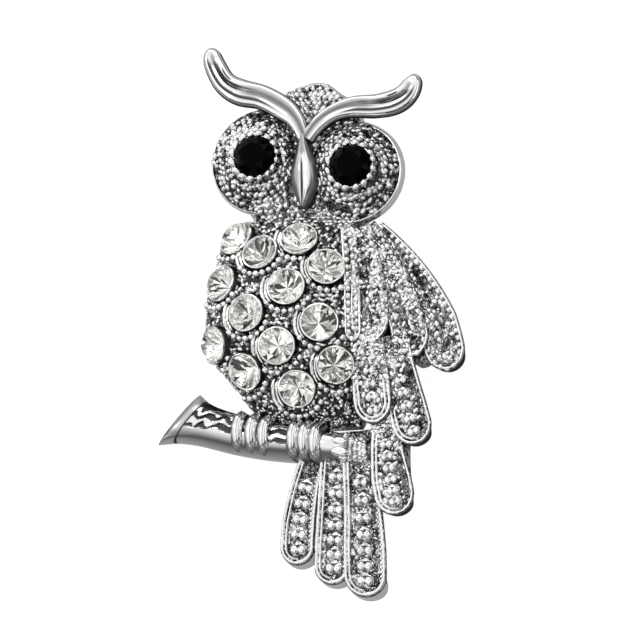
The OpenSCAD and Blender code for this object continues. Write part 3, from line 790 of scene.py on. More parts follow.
def scale_beads(s, middle, out, seed):
    """Two crescent lips below a cup and the arc of touching beads below them, all laid on the belly's metal."""
    reach = s.belly_stone_d / 2 + s.cup_wall
    turn = np.radians(np.linspace(*ARC_ANGLES, ARC_BEADS) + ARC_TURN) + 0.08 * np.sin(seed * 2.3)
    ring = stand((reach + ARC_REACH) * plan_ways(turn), middle, out)
    places, outs = drape(s, ring[:, :2], ARC_LIFT)
    size = ARC_R + 0.04 * np.sin(seed * 1.3 + np.arange(ARC_BEADS) * 1.9)
    arc = np.radians(np.linspace(*LIP_ANGLES, 22) + ARC_TURN)
    lips = []
    for lip in LIP_REACHES:
        line = stand((reach + lip) * plan_ways(arc), middle, out)
        line = line[belly_inside(s, line) > EDGE_CLEAR * 0.6]
        if len(line) > 8:
            line, ups = drape(s, line[:, :2], LIP_LIFT)
            lips.append(round_bar(line, LIP_R, 8, ups))
    return places, size, outs, lips


def belly_inside(s, places):
    """Distance of places on the plan from the belly's left and right edges, positive inside."""
    left, right = belly_edges(s, np.clip((places[:, 1] - BELLY_MIDDLE[1]) / s.belly_half[1], -1, 1))
    return np.minimum(places[:, 0] - left, right - places[:, 0])


def scattered(box, pitch, seed):
    """Places on the plan in a box: rows of a triangular lattice, each place moved at random."""
    (x0, y0), (x1, y1) = box
    x, y = np.meshgrid(np.arange(x0, x1, pitch), np.arange(y0, y1, pitch * 0.87))
    x = x + 0.5 * pitch * (np.arange(len(x)) % 2)[:, None]
    cells = np.stack([x.ravel() / pitch, y.ravel() / pitch, 0 * x.ravel()], axis=1).round(1)
    luck = dice(cells, seed)
    return np.stack([x.ravel(), y.ravel()], axis=1) + (luck[:, :2] - 0.5) * pitch * 0.5, luck[:, 2]


def clear_of(places, taken, gap):
    """Which places on the plan or in space keep at least a gap from all the taken ones."""
    gaps = np.linalg.norm(places[:, None] - taken[None], axis=-1)
    return (gaps > np.broadcast_to(gap, len(taken))).all(axis=1)


# Lumps between the stones: pitch and radius, first for most of the belly, then for its lowest part, which is
# below a share of the half height
LUMPS = ((0.56, 0.19), (0.4, 0.12))
FINE_BELOW = -0.8


def belly_grain(s, middles, taken):
    """Flattened lumps of random length all over the belly between the stones: a scattered lattice less what is
    taken. They are finer on its lowest part."""
    low, high = BELLY_MIDDLE - s.belly_half, BELLY_MIDDLE + s.belly_half
    found = []
    for part, (pitch, size) in enumerate(LUMPS):
        plan, luck = scattered((low, high), pitch, 4 + part)
        v = (plan[:, 1] - BELLY_MIDDLE[1]) / s.belly_half[1]
        keep = (belly_inside(s, plan) > EDGE_CLEAR * 0.8) & (np.abs(v) < 0.97) & (luck > 0.5)
        keep &= (v < FINE_BELOW) == bool(part)
        places, outs = drape(s, plan[keep], -0.02)
        luck = luck[keep]
        keep = clear_of(places, middles, s.belly_stone_d / 2 + s.cup_wall + 0.1) & clear_of(places, taken, 0.5)
        places, outs, luck = places[keep], outs[keep], luck[keep]
        found.append(beads(places, size * (0.75 + 0.6 * luck), outs, plan_ways(luck * 40),
                           stretch=1.05 + 0.7 * (luck * 7 % 1), flat=0.85))
    return joined(found)


# Pitch of the cast grain on the belly and crown, on the face and in the feathers' beds
BODY_PITCH = 0.62
FACE_PITCH = 0.55
BED_PITCH = 0.5


def belly_shape(s):
    """Belly dome under its beads: cast grain raised along its normal, with painted shade in its creases, and a
    pocket under each stone."""
    rings = belly_rings(s, 290, 230, 0, s.rim + 0.01, s.rim + s.edge_h, s.rim + s.belly_relief)
    top = rings[:, 1:-1]
    level = cast(top, BODY_PITCH, 3)
    normal = grid_normals(top)
    normal *= np.sign(normal[len(normal) // 2, len(normal[0]) // 2, 2])
    lift = (level - 0.85) * s.grain * CAST_DEPTH
    shade = np.full(rings.shape[:2], GRAIN_MARK)
    shade[:, 1:-1] = cast_shade(level, BELLY_CREASE)
    raised = top + normal * lift[..., None]
    rings[:, 1:-1] = pocketed(raised, *stone_frames(s), s.belly_stone_d / 2 + s.seat_gap)
    return skin(rings, shade)


# Head


def face_z(s, side, x, y):
    """Height of a face disc: its relief by the distance from the disc's middle."""
    middle = s.head + s.head_half * DISCS[side]
    r = np.hypot(x - middle[0], y - middle[1]) / s.disc_r
    return s.rim + s.disc_relief * lookup(r, DISC[:, 0], DISC[:, 1])


# How far a disc's right side leans out over its foot, and the share by which its foot is narrower
DISC_LEAN = 0.3
DISC_UNDERCUT = 0.1
# Smooth flange at a face disc's edge: distance from the edge, height
FLANGE = np.array([[0, -0.25], [0.06, -0.1], [0.18, 0.03], [0.32, 0.04], [0.44, -0.06], [0.55, -0.2],
    [0.7, -0.16], [9, -0.16]])


def flange_share(side, turn):
    """How wide a disc's flange is in a direction: whole on the right disc's right, slim elsewhere."""
    return ramp(np.cos(turn + 0.15), -0.1, 0.4) if side else 0.1 * np.ones_like(turn)


def face_disc(s, side):
    """Face disc: rings round its middle, grain inside and a smooth band at its edge."""
    middle = s.head + s.head_half * DISCS[side]
    turn = np.linspace(0, 2 * np.pi, 281)[:-1]
    share = np.concatenate([[1], 1 - 0.99 * np.linspace(0, 1, 100) ** 1.3])
    x = middle[0] + s.disc_r * share[:, None] * np.cos(turn)
    y = middle[1] + s.disc_r * share[:, None] * np.sin(turn)
    points = np.stack([x, y, face_z(s, side, x, y)], axis=-1)
    points[..., 0] += DISC_LEAN * ramp(np.cos(turn), 0, 1) * share[:, None]
    points[0, :, :2] += (middle - points[0, :, :2]) * DISC_UNDERCUT
    inner = s.disc_r * (1 - share)[:, None] / (0.45 + 0.55 * flange_share(side, turn))[None] * np.ones_like(x)
    inside = ramp(inner, 0.42, 0.6)
    level = cast(points, FACE_PITCH, 11 + side)
    points[..., 2] += (level - 0.9) * s.grain * CAST_DEPTH * inside
    points[..., 2] += lookup(inner, FLANGE[:, 0], FLANGE[:, 1])
    points[0, :, 2] = s.rim + 0.02 + 0.01 * side
    # Painted shade in the grain's creases, and dark painted shade on the disc's outer wall
    shade = cast_shade(level, FACE_CREASE) * inside
    shade[:2] = 0.95
    eyes, outs = eye_frames(s)
    points[1:] = pocketed(points[1:], eyes[side:side + 1], outs[side:side + 1], s.eye_stone_d / 2 + s.seat_gap)
    return skin(points, shade)


# Distance of the large beads from the stone, radii of the rows outside them, and pitch of the beads in a row
EYE_BEAD_OUT = 0.22
FACE_ROWS = [3.5, 4.02, 4.52, 5.02, 5.52, 6.05, 6.6, 7.1]
FACE_BEAD_PITCH = 0.68


def face_beads(s, side, count):
    """Rings of beads round an eye: large ovals that lean on the stone, then close rows that follow the disc's
    slope, of random sizes and lengths."""
    eye = s.head + s.head_half * EYES[side]
    disc = s.head + s.head_half * DISCS[side]
    index = np.arange(count)
    luck = luck_for(count, 31, side, 5)
    turn = (index + 0.5 + 0.3 * (luck[:, 0] - 0.5)) * 2 * np.pi / count
    large = 0.5 - 0.5 * np.cos(turn + 0.2)
    xy = eye + (s.eye_stone_d / 2 + EYE_BEAD_OUT + 0.08 * large)[:, None] * plan_ways(turn)[:, :2]
    z = np.full(count, s.rim + s.disc_relief + s.seat_up - 0.02)
    radii = 0.31 + 0.09 * luck[:, 1] + 0.07 * large
    found = [beads(np.column_stack([xy, z]), radii, ways=ring_ways(turn + 0.5), stretch=1.15 + 0.35 * large)]
    for n, radius in enumerate([s.eye_stone_d / 2 + EYE_BEAD_OUT + 0.6] + FACE_ROWS):
        number = int(2 * np.pi * radius / FACE_BEAD_PITCH)
        luck = luck_for(number, n, side, 8)
        turn = (np.arange(number) + 0.5 * (n % 2) + 0.5 * luck[:, 1]) * 2 * np.pi / number
        xy = eye + (radius + 0.2 * (luck[:, 2:] - 0.5)) * plan_ways(turn)[:, :2]
        edge = s.disc_r - 0.36 - 0.26 * flange_share(side, turn)
        keep = (np.hypot(*(xy - disc).T) < edge) & (luck[:, 2] > (0.12 if n < 3 else 0.35))
        xy, turn, luck = xy[keep], turn[keep], luck[keep]
        z = face_z(s, side, xy[:, 0], xy[:, 1]) - 0.1
        ways = ring_ways(turn + 2.6 * (luck[:, 1] - 0.5))
        found.append(beads(np.column_stack([xy, z]), 0.2 + 0.17 * luck[:, 0], ways=ways,
                           stretch=1.0 + 0.9 * luck[:, 1] ** 2, flat=0.9))
    return found


def head_rows(s, table, width, low):
    """Rows of a strip on the head: a table's places and widths, from the low height to its relief."""
    plan = s.head + s.head_half * table[:, :2]
    high = s.rim + table[:, 3] * s.head_relief
    return np.column_stack([plan, table[:, 2] * width / 2, np.broadcast_to(low, len(table)), high])


# Pitch of the lumps on the crown
HEAD_LUMP_PITCH = 0.7


def head_core(s):
    """Crown and the metal behind the face: a domed strip of grain with painted shade in its creases, with a
    smooth raised edge, and the lumps that cover it."""
    rings, top = strip(head_rows(s, HEAD, s.head_w, s.rim + 0.03), 150, domed)
    face = rings[:, top].copy()
    gap = edge_distance(face, np.concatenate([face[:, 0], face[-1], face[::-1, -1]]))
    inside = ramp(gap, 0.3, 0.5)
    level = cast(face, BODY_PITCH, 21)
    shade = np.zeros(rings.shape[:2])
    # Painted shade in the grain's creases, none on the raised edge
    shade[:, top] = cast_shade(level, CROWN_CREASE) * inside
    rings[:, top, 2] += (level - 0.9) * s.grain * CAST_DEPTH * inside
    rings[:, top, 2] += 0.12 * (1 - inside) * ramp(gap, 0, 0.15)
    plan, luck = scattered((face[..., :2].min(axis=(0, 1)), face[..., :2].max(axis=(0, 1))), HEAD_LUMP_PITCH, 6)
    flat = face.reshape(-1, 3)
    nearest = np.argmin(((plan[:, None] - flat[None, ::3, :2]) ** 2).sum(-1), axis=1) * 3
    keep = (gap.reshape(-1)[nearest] > 0.62) & (np.hypot(*(plan - flat[nearest, :2]).T) < 0.3)
    plan, luck, nearest = plan[keep], luck[keep], nearest[keep]
    heart = s.head + s.head_half * HEAD[3, :2]
    ways = unit(np.column_stack([plan - heart, np.zeros(len(plan))]))
    lumps = beads(np.column_stack([plan, flat[nearest, 2] - 0.02]), 0.25 + 0.12 * luck, ways=ways,
                  stretch=1.1 + 0.5 * (luck * 9 % 1), flat=0.9)
    return skin(rings, shade), lumps


# Share of a horn's thickness that stands over the metal below it
HORN_SHARE = 0.8
# Bands of painted shade on a horn: its inner half, the slope past its hollow, three grooves and its two edges
HORN_BANDS = [(0.9, FROM_ROOT, (0.42, 0.62), 0.16, 0.16, 0.5),
              (0.76, (0.3, 0.5), (0.82, 0.95), 0.45, 0.05, 0.32),
              (1.15, (0.12, 0.4), (0.76, 0.92), -0.42, -0.42, 0.16),
              (1.2, (0.44, 0.56), (0.76, 0.88), 0.08, 0.08, 0.13),
              (1.1, (0.56, 0.62), (0.68, 0.74), 0.5, 0.5, 0.12),
              (0.95, FROM_ROOT, TO_TIP, 1, 1, 0.16), (1.0, FROM_ROOT, TO_TIP, -1, -1, 0.2)]
# Painted shade across a horn's tip
HORN_TIP = (0.9, 1, 0.03)


def horn(s, table, side):
    """Brow horn: a polished strip, round at its edges and hollow along its middle, with long grooves in the
    hollow towards its round tip. Painted shade darkens its inner half in a broad band, and its grooves."""
    rows = head_rows(s, table, s.horn_w, 0)
    rows[:, 3] = np.maximum(s.rim, rows[:, 4] - HORN_SHARE * s.horn_t)
    rows[:, 2] += 0.06

    def section(u, t):
        """Round edges, less the hollow and the grooves in it."""
        u = u * side
        edge = 0.55 + 0.45 * rounded(u, 2.4)
        outer = ramp(t, 0.3, 0.55)
        hollow = (0.13 + 0.1 * outer) * np.exp(-np.abs((u - 0.08) / (0.5 - 0.14 * outer)) ** 3) \
            * (0.3 + 0.7 * ramp(t, 0.05, 0.3)) * (1 - ramp(t, 0.74, 0.92))
        fine = 0.06 * (np.cos((u + 0.45 * t) * 14) - 0.3) * np.exp(-((u - 0.08) / 0.36) ** 2) \
            * outer * (1 - ramp(t, 0.66, 0.86))
        return edge - hollow - fine
    rings, top = strip(rows, 150, section, tip=0.1, undercut=0.42)
    return polished(rings, top, HORN_BANDS, side, [HORN_TIP])


# Bands of painted shade on the beak: its crease, its right half, left flank and right edge, its root and the
# left of its tip
BEAK_BANDS = [(1.1, (0.2, 0.4), TO_TIP, 0.04, 0.04, 0.1), (0.86, FROM_ROOT, TO_TIP, 0.62, 0.62, 0.5),
              (0.9, FROM_ROOT, TO_TIP, -0.94, -0.94, 0.5), (1.0, FROM_ROOT, TO_TIP, 1, 1, 0.2),
              (0.78, FROM_ROOT, (0.2, 0.36), 0, 0, 0.6), (0.7, (0.7, 0.9), TO_TIP, -0.4, -0.4, 0.6)]


def beak(s):
    """Beak: a drop-shaped strip, round across, with a soft crease along its middle, and painted shade on its
    right half, its crease and its edges.
    """
    rows = head_rows(s, BEAK, s.beak_w, 0)
    rows[:, 3] = rows[:, 4] - s.beak_t

    def section(u, t):
        """Round, less a soft crease."""
        crease = np.exp(-((u + 0.12) / 0.14) ** 2) * ramp(t, 0.15, 0.4)
        return 0.66 + 0.34 * rounded(u, 2.3) - 0.05 * crease
    rings, top = strip(rows, 90, section, walls=3, undercut=0.3)
    return polished(rings, top, BEAK_BANDS)


# Feathers


# How far a feather leans over its foot, and how deep a tail feather's root sinks under the branch
LEAN = 0.3
ROOT_SINK = 1.6
# Undercut of a feather's walls, and what it changes to at the tips of the wing's and the tail's feathers
UNDERCUT = 0.3
WING_TIP_CUT = 0.1
TAIL_TIP_CUT = -0.06
# Shares of a wall's drop at which it has points
FEATHER_DROP = (0, 0.6, 0.94)
# Painted shade on the walls, and on the roots' walls of the feathers inside the wing
WALL_SHADE = 0.92
INNER_ROOT_SHADE = 0.4
# Thin line of painted shade at a feather's edge: its shade and its width
EDGE_SHADE = 0.95
EDGE_LINE = 0.1


def feather_line(s, row, wing):
    """Rows of a feather: a quadratic curve from root through bend to tip, widening from its root, round at its
    tip. It leans over its foot to its right, and a tail feather's root sinks under the branch."""
    start, size = (s.shoulder, s.wing_size) if wing else (s.tail, s.tail_size)
    width, thick = (s.wing_feather_w, s.wing_feather_t) if wing else (s.tail_feather_w, s.tail_feather_t)
    tip_cut = WING_TIP_CUT if wing else TAIL_TIP_CUT
    root, bend, tip = (start + size * np.array(row[n]) for n in range(3))
    half = row[3] * width / 2 + LEAN / 2
    reach = np.linalg.norm(bend - root) + np.linalg.norm(tip - bend)
    round_share = TIP_ROUND * half / reach
    blade = np.linspace(0, 1, 110)[:-1]
    turn = np.radians(np.linspace(0, 89.5, 30))
    along = np.concatenate([blade * (1 - round_share), 1 - round_share + round_share * np.sin(turn)])
    wide = np.concatenate([row[4] + (1 - row[4]) * np.minimum(1, blade / ROOT_SHARE), np.cos(turn)]) * half
    t = along[:, None]
    path = (1 - t) ** 2 * root + 2 * t * (1 - t) * bend + t * t * tip
    if wing:
        high_root, high_tip = s.rim + row[5] * s.wing_relief, s.rim + row[6] * s.wing_relief
    else:
        high_root, high_tip = s.rim + row[5] * s.branch_relief, row[6] * s.back_gap + thick
    high = high_root + (high_tip - high_root) * along
    if not wing:
        high = high - ROOT_SINK * (1 - ramp(along, 0.1, 0.18))
    path = path + [LEAN / 2, 0]
    way = unit(np.gradient(path, axis=0))
    return SimpleNamespace(path=path, across=right_of(way), wide=wide, high=high, low=high - thick, along=along,
                           way=way, half=half, tip_cut=tip_cut, smooth_tip=0 if wing else 1)


# A feather's relief by the distance from its edge. A wide one: round rim and bed. A nested one: round rim,
# groove, second rim and bed.
WIDE = np.array([[0, -0.34], [0.05, -0.16], [0.12, -0.04], [0.22, 0], [0.32, -0.06], [0.42, -0.24],
    [0.5, -0.34], [9, -0.34]])
NESTED = np.array([[0, -0.34], [0.05, -0.16], [0.12, -0.04], [0.24, 0], [0.36, -0.06], [0.43, -0.2],
    [0.48, -0.3], [0.54, -0.22], [0.6, -0.08], [0.69, -0.02], [0.79, -0.08], [0.87, -0.26], [0.96, -0.42],
    [1.1, -0.46], [9, -0.46]])
# Broad smooth rim and bed, on the right of the tail's feathers
BROAD = np.array([[0, -0.34], [0.05, -0.17], [0.14, -0.05], [0.3, 0], [0.46, -0.05], [0.56, -0.2], [0.66, -0.4],
    [0.8, -0.46], [9, -0.46]])


def feather_level(f, gap, across, profile):
    """Relief of a feather by the distance from its outline: one profile on the left and one on the right. Where
    its rim is faded, its bed goes up to the edge."""
    left, right, fade = profile
    side = ramp(across, -0.3, 0.3)
    level = lookup(gap, left[:, 0], left[:, 1]) * side + lookup(gap, right[:, 0], right[:, 1]) * (1 - side)
    share = rim_share(np.broadcast_to(f.along[:, None], across.shape), across, fade)
    return level * share + np.interp(gap, [0, 0.06, 0.2], [-0.4, -0.26, -0.22]) * (1 - share)


def rim_share(along, across, fade):
    """Share of the rim that stands: on each side it grows from none to whole between two shares along."""
    if fade is None:
        return np.ones_like(across)
    side = ramp(across, -0.3, 0.3)
    return ramp(along, *fade[0]) * side + ramp(along, *fade[1]) * (1 - side)


def feather(s, f, seed, profile, root_shade=WALL_SHADE):
    """Feather: its relief follows the distance from its outline, so rims and grooves nest round its tip, and
    its bed is cast grain with painted shade in its creases. Its walls carry painted shade, with the root's
    shade along their first half, and a thin line of painted shade runs round its edge."""
    across = f.wide[:, None] * spread(67, 1.2)
    xy = f.path[:, None] + f.across[:, None] * across[..., None]
    gap = edge_distance(xy, np.concatenate([xy[:, 0], xy[::-1, -1]]))
    level = feather_level(f, gap, across, profile)
    points = np.concatenate([xy, np.broadcast_to(f.high[:, None, None], xy.shape[:2] + (1,))], axis=-1)
    bed = np.clip((-0.14 - level) / 0.1, 0, 1) * ramp(gap, 0.06, 0.2)
    grain = cast(points, BED_PITCH, seed)
    points[..., 2] += level + (grain - 0.6) * s.grain * BED_DEPTH * bed + feather_crown(f, gap)
    undercut = UNDERCUT + (f.tip_cut - UNDERCUT) * ramp(f.along, 0.82, 0.97)
    undercut = np.minimum(undercut, 0.25 * np.where(f.along > 0.7, f.half, f.wide))
    left = leaning_wall(points[:, 0], f.low, 1, FEATHER_DROP, undercut)
    right = leaning_wall(points[:, -1], f.low, -1, FEATHER_DROP[::-1], undercut)
    rings = np.concatenate([left, points, right], axis=1)
    # Painted shade on the walls, none on a tail feather's tip walls
    wall = root_shade + (WALL_SHADE - root_shade) * ramp(f.along, 0.5, 0.62)
    shade = np.repeat((wall * (1 - f.smooth_tip * ramp(f.along, 0.88, 0.9)))[:, None], rings.shape[1], axis=1)
    line = EDGE_SHADE * np.exp(-(gap / EDGE_LINE) ** 2)
    top = slice(len(FEATHER_DROP), -len(FEATHER_DROP))
    shade[:, top] = np.maximum(cast_shade(grain, BED_CREASE) * bed, line)
    return skin(rings, shade)


def feather_crown(f, gap):
    """Rise of a feather's top towards its middle: a parabola of the distance from its outline."""
    return 0.25 * (1 - np.clip(1 - gap / f.half, 0, 1) ** 2)


def feather_place(f, t, offset):
    """Point on a feather's top at a share of its length and a distance across, without its relief."""
    path = rows_at(t, f.along, f.path) + rows_at(t, f.along, f.across) * np.reshape(offset, (-1, 1))
    return np.column_stack([path, np.interp(t, f.along, f.high)])


def edge_beads(f, gap, pitch, radius, drop, seed, from_share=0.1, both=True):
    """Row of long beads inside a feather's rim: places at an even pitch on the outline moved in by the gap, on
    both sides and round the tip or on the left alone."""
    inner = np.maximum(f.wide - gap, 0.02)
    keep = (f.along > from_share) & (f.wide > gap * 0.95)
    left = f.path - f.across * inner[:, None]
    right = f.path + f.across * inner[:, None]
    left, right = np.column_stack([left, f.high]), np.column_stack([right, f.high])
    line = np.concatenate([left[keep], right[keep][::-1]]) if both else left[keep & (f.along < 0.9)]
    places, ways = evenly(line, pitch)
    places[:, 2] += drop + feather_crown(f, gap)
    index = np.arange(len(places))
    radii = radius * (0.84 + 0.32 * luck_for(len(places), index, index, seed)[:, 0])
    return places, beads(places, radii, ways=ways, stretch=1.15, flat=0.75)


# Lumps on a feather's bed: their pitch, the share of the lattice that has one, and their clearance from the
# edge where the rim is faded
BED_LUMP_PITCH = 0.6
BED_SHARE = 0.5
EDGE_ROOM = 0.26


def bed_beads(f, gap, radius, taken, drop, seed, fade):
    """Irregular flattened lumps all over a feather's bed: a scattered lattice inside the gap, clear of what is
    taken. Where the rim is faded they go out to the edge."""
    margin = f.wide.max() + 1
    plan, luck = scattered((f.path.min(axis=0) - margin, f.path.max(axis=0) + margin), BED_LUMP_PITCH, seed)
    far = ((plan[:, None] - f.path[None]) ** 2).sum(-1)
    near = np.argmin(far, axis=1)
    outline = np.concatenate([f.path - f.across * f.wide[:, None], (f.path + f.across * f.wide[:, None])[::-1]])
    edge = edge_distance(plan, outline)
    across = ((plan - f.path[near]) * f.across[near]).sum(-1)
    share = rim_share(f.along[near], across, fade)
    keep = (np.sqrt(far.min(axis=1)) < f.wide[near]) & (edge > EDGE_ROOM + (gap - EDGE_ROOM) * share)
    keep &= (near > 2) & (luck * 13 % 1 < BED_SHARE) & clear_of(plan, taken[:, :2], radius * 1.7)
    plan, luck, near, edge, share = (values[keep] for values in (plan, luck, near, edge, share))
    z = f.high[near] + drop * share - 0.22 * (1 - share) + feather_crown(f, edge)
    return beads(np.column_stack([plan, z]), radius * (0.7 + 0.7 * luck), ways=plan_ways(luck * 50),
                 stretch=1.05 + 0.8 * (luck * 7 % 1), flat=0.62)


# Bead pairs: stretch and flatness of a bead, how high it sits on the feather, and the crescents above a pair:
# their reach to the sides and back in times of the beads' radius, their own radius, and how deep they sit
PAIR_STRETCH = 1.28
PAIR_FLAT = 0.74
PAIR_LIFT = 0.1
CRESCENTS = ((2.1, 1.5, 0.11), (1.2, 1.9, 0.1))
CRESCENT_DROP = 0.14


def paired_beads(f, start, stop, count, radius, shift=0.0):
    """Pairs of long beads that touch, along a feather's middle or beside it by the shift, with two crescents
    above each pair."""
    t = np.linspace(start, stop, count)
    shapes, taken = [], []
    way = np.column_stack([rows_at(t, f.along, f.way), 0 * t])
    for side in (-1, 1):
        middles = feather_place(f, t, np.full(count, shift + side * radius * 0.96))
        middles[:, 2] += PAIR_LIFT
        shapes.append(beads(middles, radius, ways=way, stretch=PAIR_STRETCH, flat=PAIR_FLAT))
        taken.append(middles)
    arc = np.radians(np.linspace(8, 172, 17))
    for n, share in enumerate(t):
        here = feather_place(f, np.array([share]), [shift])[0]
        ahead = way[n, :2]
        side = np.array([ahead[1], -ahead[0]])
        for reach, back, thick in CRESCENTS:
            line = here[:2] + np.cos(arc)[:, None] * side * radius * reach \
                - np.sin(arc)[:, None] * ahead * radius * back
            line = np.column_stack([line, np.full(len(arc), here[2] - CRESCENT_DROP)])
            shapes.append(round_bar(line, thick, 6))
        taken.append(line[::3])
    return np.concatenate(taken), shapes


# Branch and claws


def branch_place(s, along, across, up):
    """Point of the branch: shares of its length and width turned by its slope, and a share of its relief."""
    u, v = np.asarray(along) * s.branch_l, np.asarray(across) * s.branch_w
    x = s.branch[0] + u * np.cos(BRANCH_SLOPE) - v * np.sin(BRANCH_SLOPE)
    y = s.branch[1] + u * np.sin(BRANCH_SLOPE) + v * np.cos(BRANCH_SLOPE)
    return np.stack(np.broadcast_arrays(x, y, s.rim + np.asarray(up) * s.branch_relief), axis=-1)


# Smooth oval plates past the right claw: places on the plan and height above the back rim, and their radii
PLATES = np.array([[4.5, -14.72, 4.1], [4.45, -15.85, 3.9]])
PLATE_RADII = [0.48, 0.58]


def branch_plates(s):
    """Two smooth ovals laid along the branch."""
    return beads(PLATES + [0, 0, s.rim], PLATE_RADII, ways=plan_ways(BRANCH_SLOPE), stretch=1.85, flat=0.8)


# Lengths along the branch: where the cut face ends, where the bark ends, and where it sinks under the knots.
# Then how deep it sinks, how deep the bark is, and how high its foot is above the back rim.
CUT_FACE = 2.9
BARK_END = (17.8, 18.3)
SUNK = (20.2, 20.8)
SINK = 0.9
BARK_DEPTH = 0.3
FOOT_LIFT = 0.015


def bark(along, u):
    """Bark, 1 in a crease: winding stripes along the branch, which sway in a zigzag and by soft noise."""
    flow = np.stack(np.broadcast_arrays(along * 0.5, u * 0.9, 0.0 * along), axis=-1)
    zigzag = u * 1.9 - 0.1 * along + 0.34 * np.abs((along * 0.9) % 2 - 1) + 0.26 * waves(flow, 0.4, 31)
    return ramp(np.sin(2 * np.pi * zigzag) + 0.6 * waves(flow, 0.7, 35), 0.0, 0.3)


def branch_cap(s, rings):
    """Rings that round off the branch's cut end: the first ring, smaller and further out in a quarter turn."""
    middle = rings[0].mean(axis=0)
    out = unit((rings[0].mean(axis=0) - rings[6].mean(axis=0))[None])[0]
    caps = np.stack([middle + (rings[0] - middle) * (0.25 + 0.75 * np.cos(a)) + out * 0.45 * np.sin(a)
                     for a in np.linspace(0, np.pi / 2, 9)[:0:-1]])
    caps[..., 2] = np.clip(caps[..., 2], s.rim + FOOT_LIFT, None)
    return caps


def branch_shape(s):
    """Branch: a domed section between its low and high edge, with long winding bark creases above and a smooth
    flank below. Its cut end rounds down to a smooth face. Past the right claw it sinks under small knots."""
    rows = through(BRANCH, 170)
    low = branch_place(s, rows[:, 0], rows[:, 1], 0)
    high = branch_place(s, rows[:, 2], rows[:, 3], 0)
    u = spread(61, 1.4)[None]
    along = np.linspace(0, 1, len(rows))[:, None] * s.branch_l
    top = low[:, None] + (high - low)[:, None] * ((u + 1) / 2)[..., None]
    bevel = 0.3 + 0.7 * np.sqrt(1 - (1 - np.clip(along / CUT_FACE, 0, 1)) ** 2)
    top[..., 2] = s.rim + (rounded(u, 2.4) * 0.7 + 0.3) * rows[:, 4, None] * s.branch_relief * bevel
    mask = ramp(u, -0.36, -0.2) * ramp(along, CUT_FACE, CUT_FACE + 0.3) * (1 - ramp(along, *BARK_END))
    creases = bark(along, u) * mask
    sunk = 0.9 * ramp(along, *SUNK)
    top[..., 2] -= BARK_DEPTH * creases + SINK * sunk
    # Painted shade: black in the bark's creases and where the branch sinks, dark on its lower flank, grey over
    # its cut face and dark at both edges of the cut face
    shade = np.maximum(np.clip(creases + sunk, 0, 1), painted(
        (0.84, u, -0.64 + 0 * along, 0.42), (0.58 * (along < CUT_FACE), u, 0, 2),
        (0.98, along + 0 * u, 0, 0.5), (1.1, along + 0 * u, CUT_FACE, 0.3)))
    knots = top[150:169:4, 8:54:5].reshape(-1, 3)
    luck = dice(np.round(knots * 10), 3)
    knots = beads(knots, 0.22 + 0.16 * luck[:, 0], ways=plan_ways(luck[:, 2] * 6), stretch=1 + 0.7 * luck[:, 1],
                  flat=0.9)
    feet = np.stack([top[:, 0], top[:, -1]], axis=1)
    feet[..., 2] = s.rim + FOOT_LIFT
    rings = np.concatenate([feet[:, :1], top, feet[:, 1:]], axis=1)
    caps = branch_cap(s, rings)
    # Dark painted shade on the caps of the rounded cut end
    shade = np.concatenate([np.full(caps.shape[:2], WALL_DARK), np.pad(shade, ((0, 0), (1, 1)))])
    return skin(np.concatenate([caps, rings]), shade), knots


# Bands of painted shade on a toe: its two edges, its right half and its groove
TOE_BANDS = [(1.0, FROM_ROOT, TO_TIP, -1, -1, 0.22), (1.0, FROM_ROOT, TO_TIP, 1, 1, 0.24),
             (0.74, FROM_ROOT, TO_TIP, 0.5, 0.5, 0.34), (0.85, FROM_ROOT, TO_TIP, -0.1, -0.1, 0.1)]
# Painted shade across a toe near its tip
TOE_TIP = (0.76, 0.9, 0.16)


def toe_shape(s, place):
    """Toe: a strip that bends over the branch, round across with a fine groove beside its middle."""
    up = np.interp(place, BRANCH[:, 2], BRANCH[:, 4])
    points = branch_place(s, place + TOE[:, 0], TOE[:, 1], TOE[:, 2] * up)
    half = np.full(len(TOE), s.toe_w * 0.6)
    rows = np.column_stack([points[:, :2], half, points[:, 2] - s.toe_t, points[:, 2]])
    rows[[0, -1], 2] *= 0.8

    def section(u, _):
        """Round, less the groove."""
        return 0.36 + 0.64 * rounded(u, 2.2) - 0.035 * np.exp(-((u - 0.15) / 0.16) ** 2)
    rings, top = strip(rows, 60, section, tip=0.2, undercut=0.12)
    return polished(rings, top, TOE_BANDS, ends=[TOE_TIP])


# Stones


# Cut: the girdle's height, then shares of the diameter for the depths of the back and the crown and the radii
# of the table and the kite points, and the kite points' share of the crown. Then the radius and depth shares of
# the lower-half points, and the radius of the back's point.
GIRDLE = 0.12
PAVILION_SHARE = 0.42
CROWN_SHARE = 0.2
TABLE_SHARE = 0.3
KITE_SHARE = 0.42
KITE_HEIGHT = 0.5
LOWER_SHARE = 0.24
LOWER_DEPTH = 0.52
CULET_R = 0.05
# Painted reflection in the foil behind each facet, from 0 the lightest to 1 the darkest, by an even random
# number
FACET_LUCK = [0, 0.4, 0.62, 0.79, 0.82, 1]
FACET_REFLECTION = [0, 0.07, 0.42, 0.66, 1, 1]


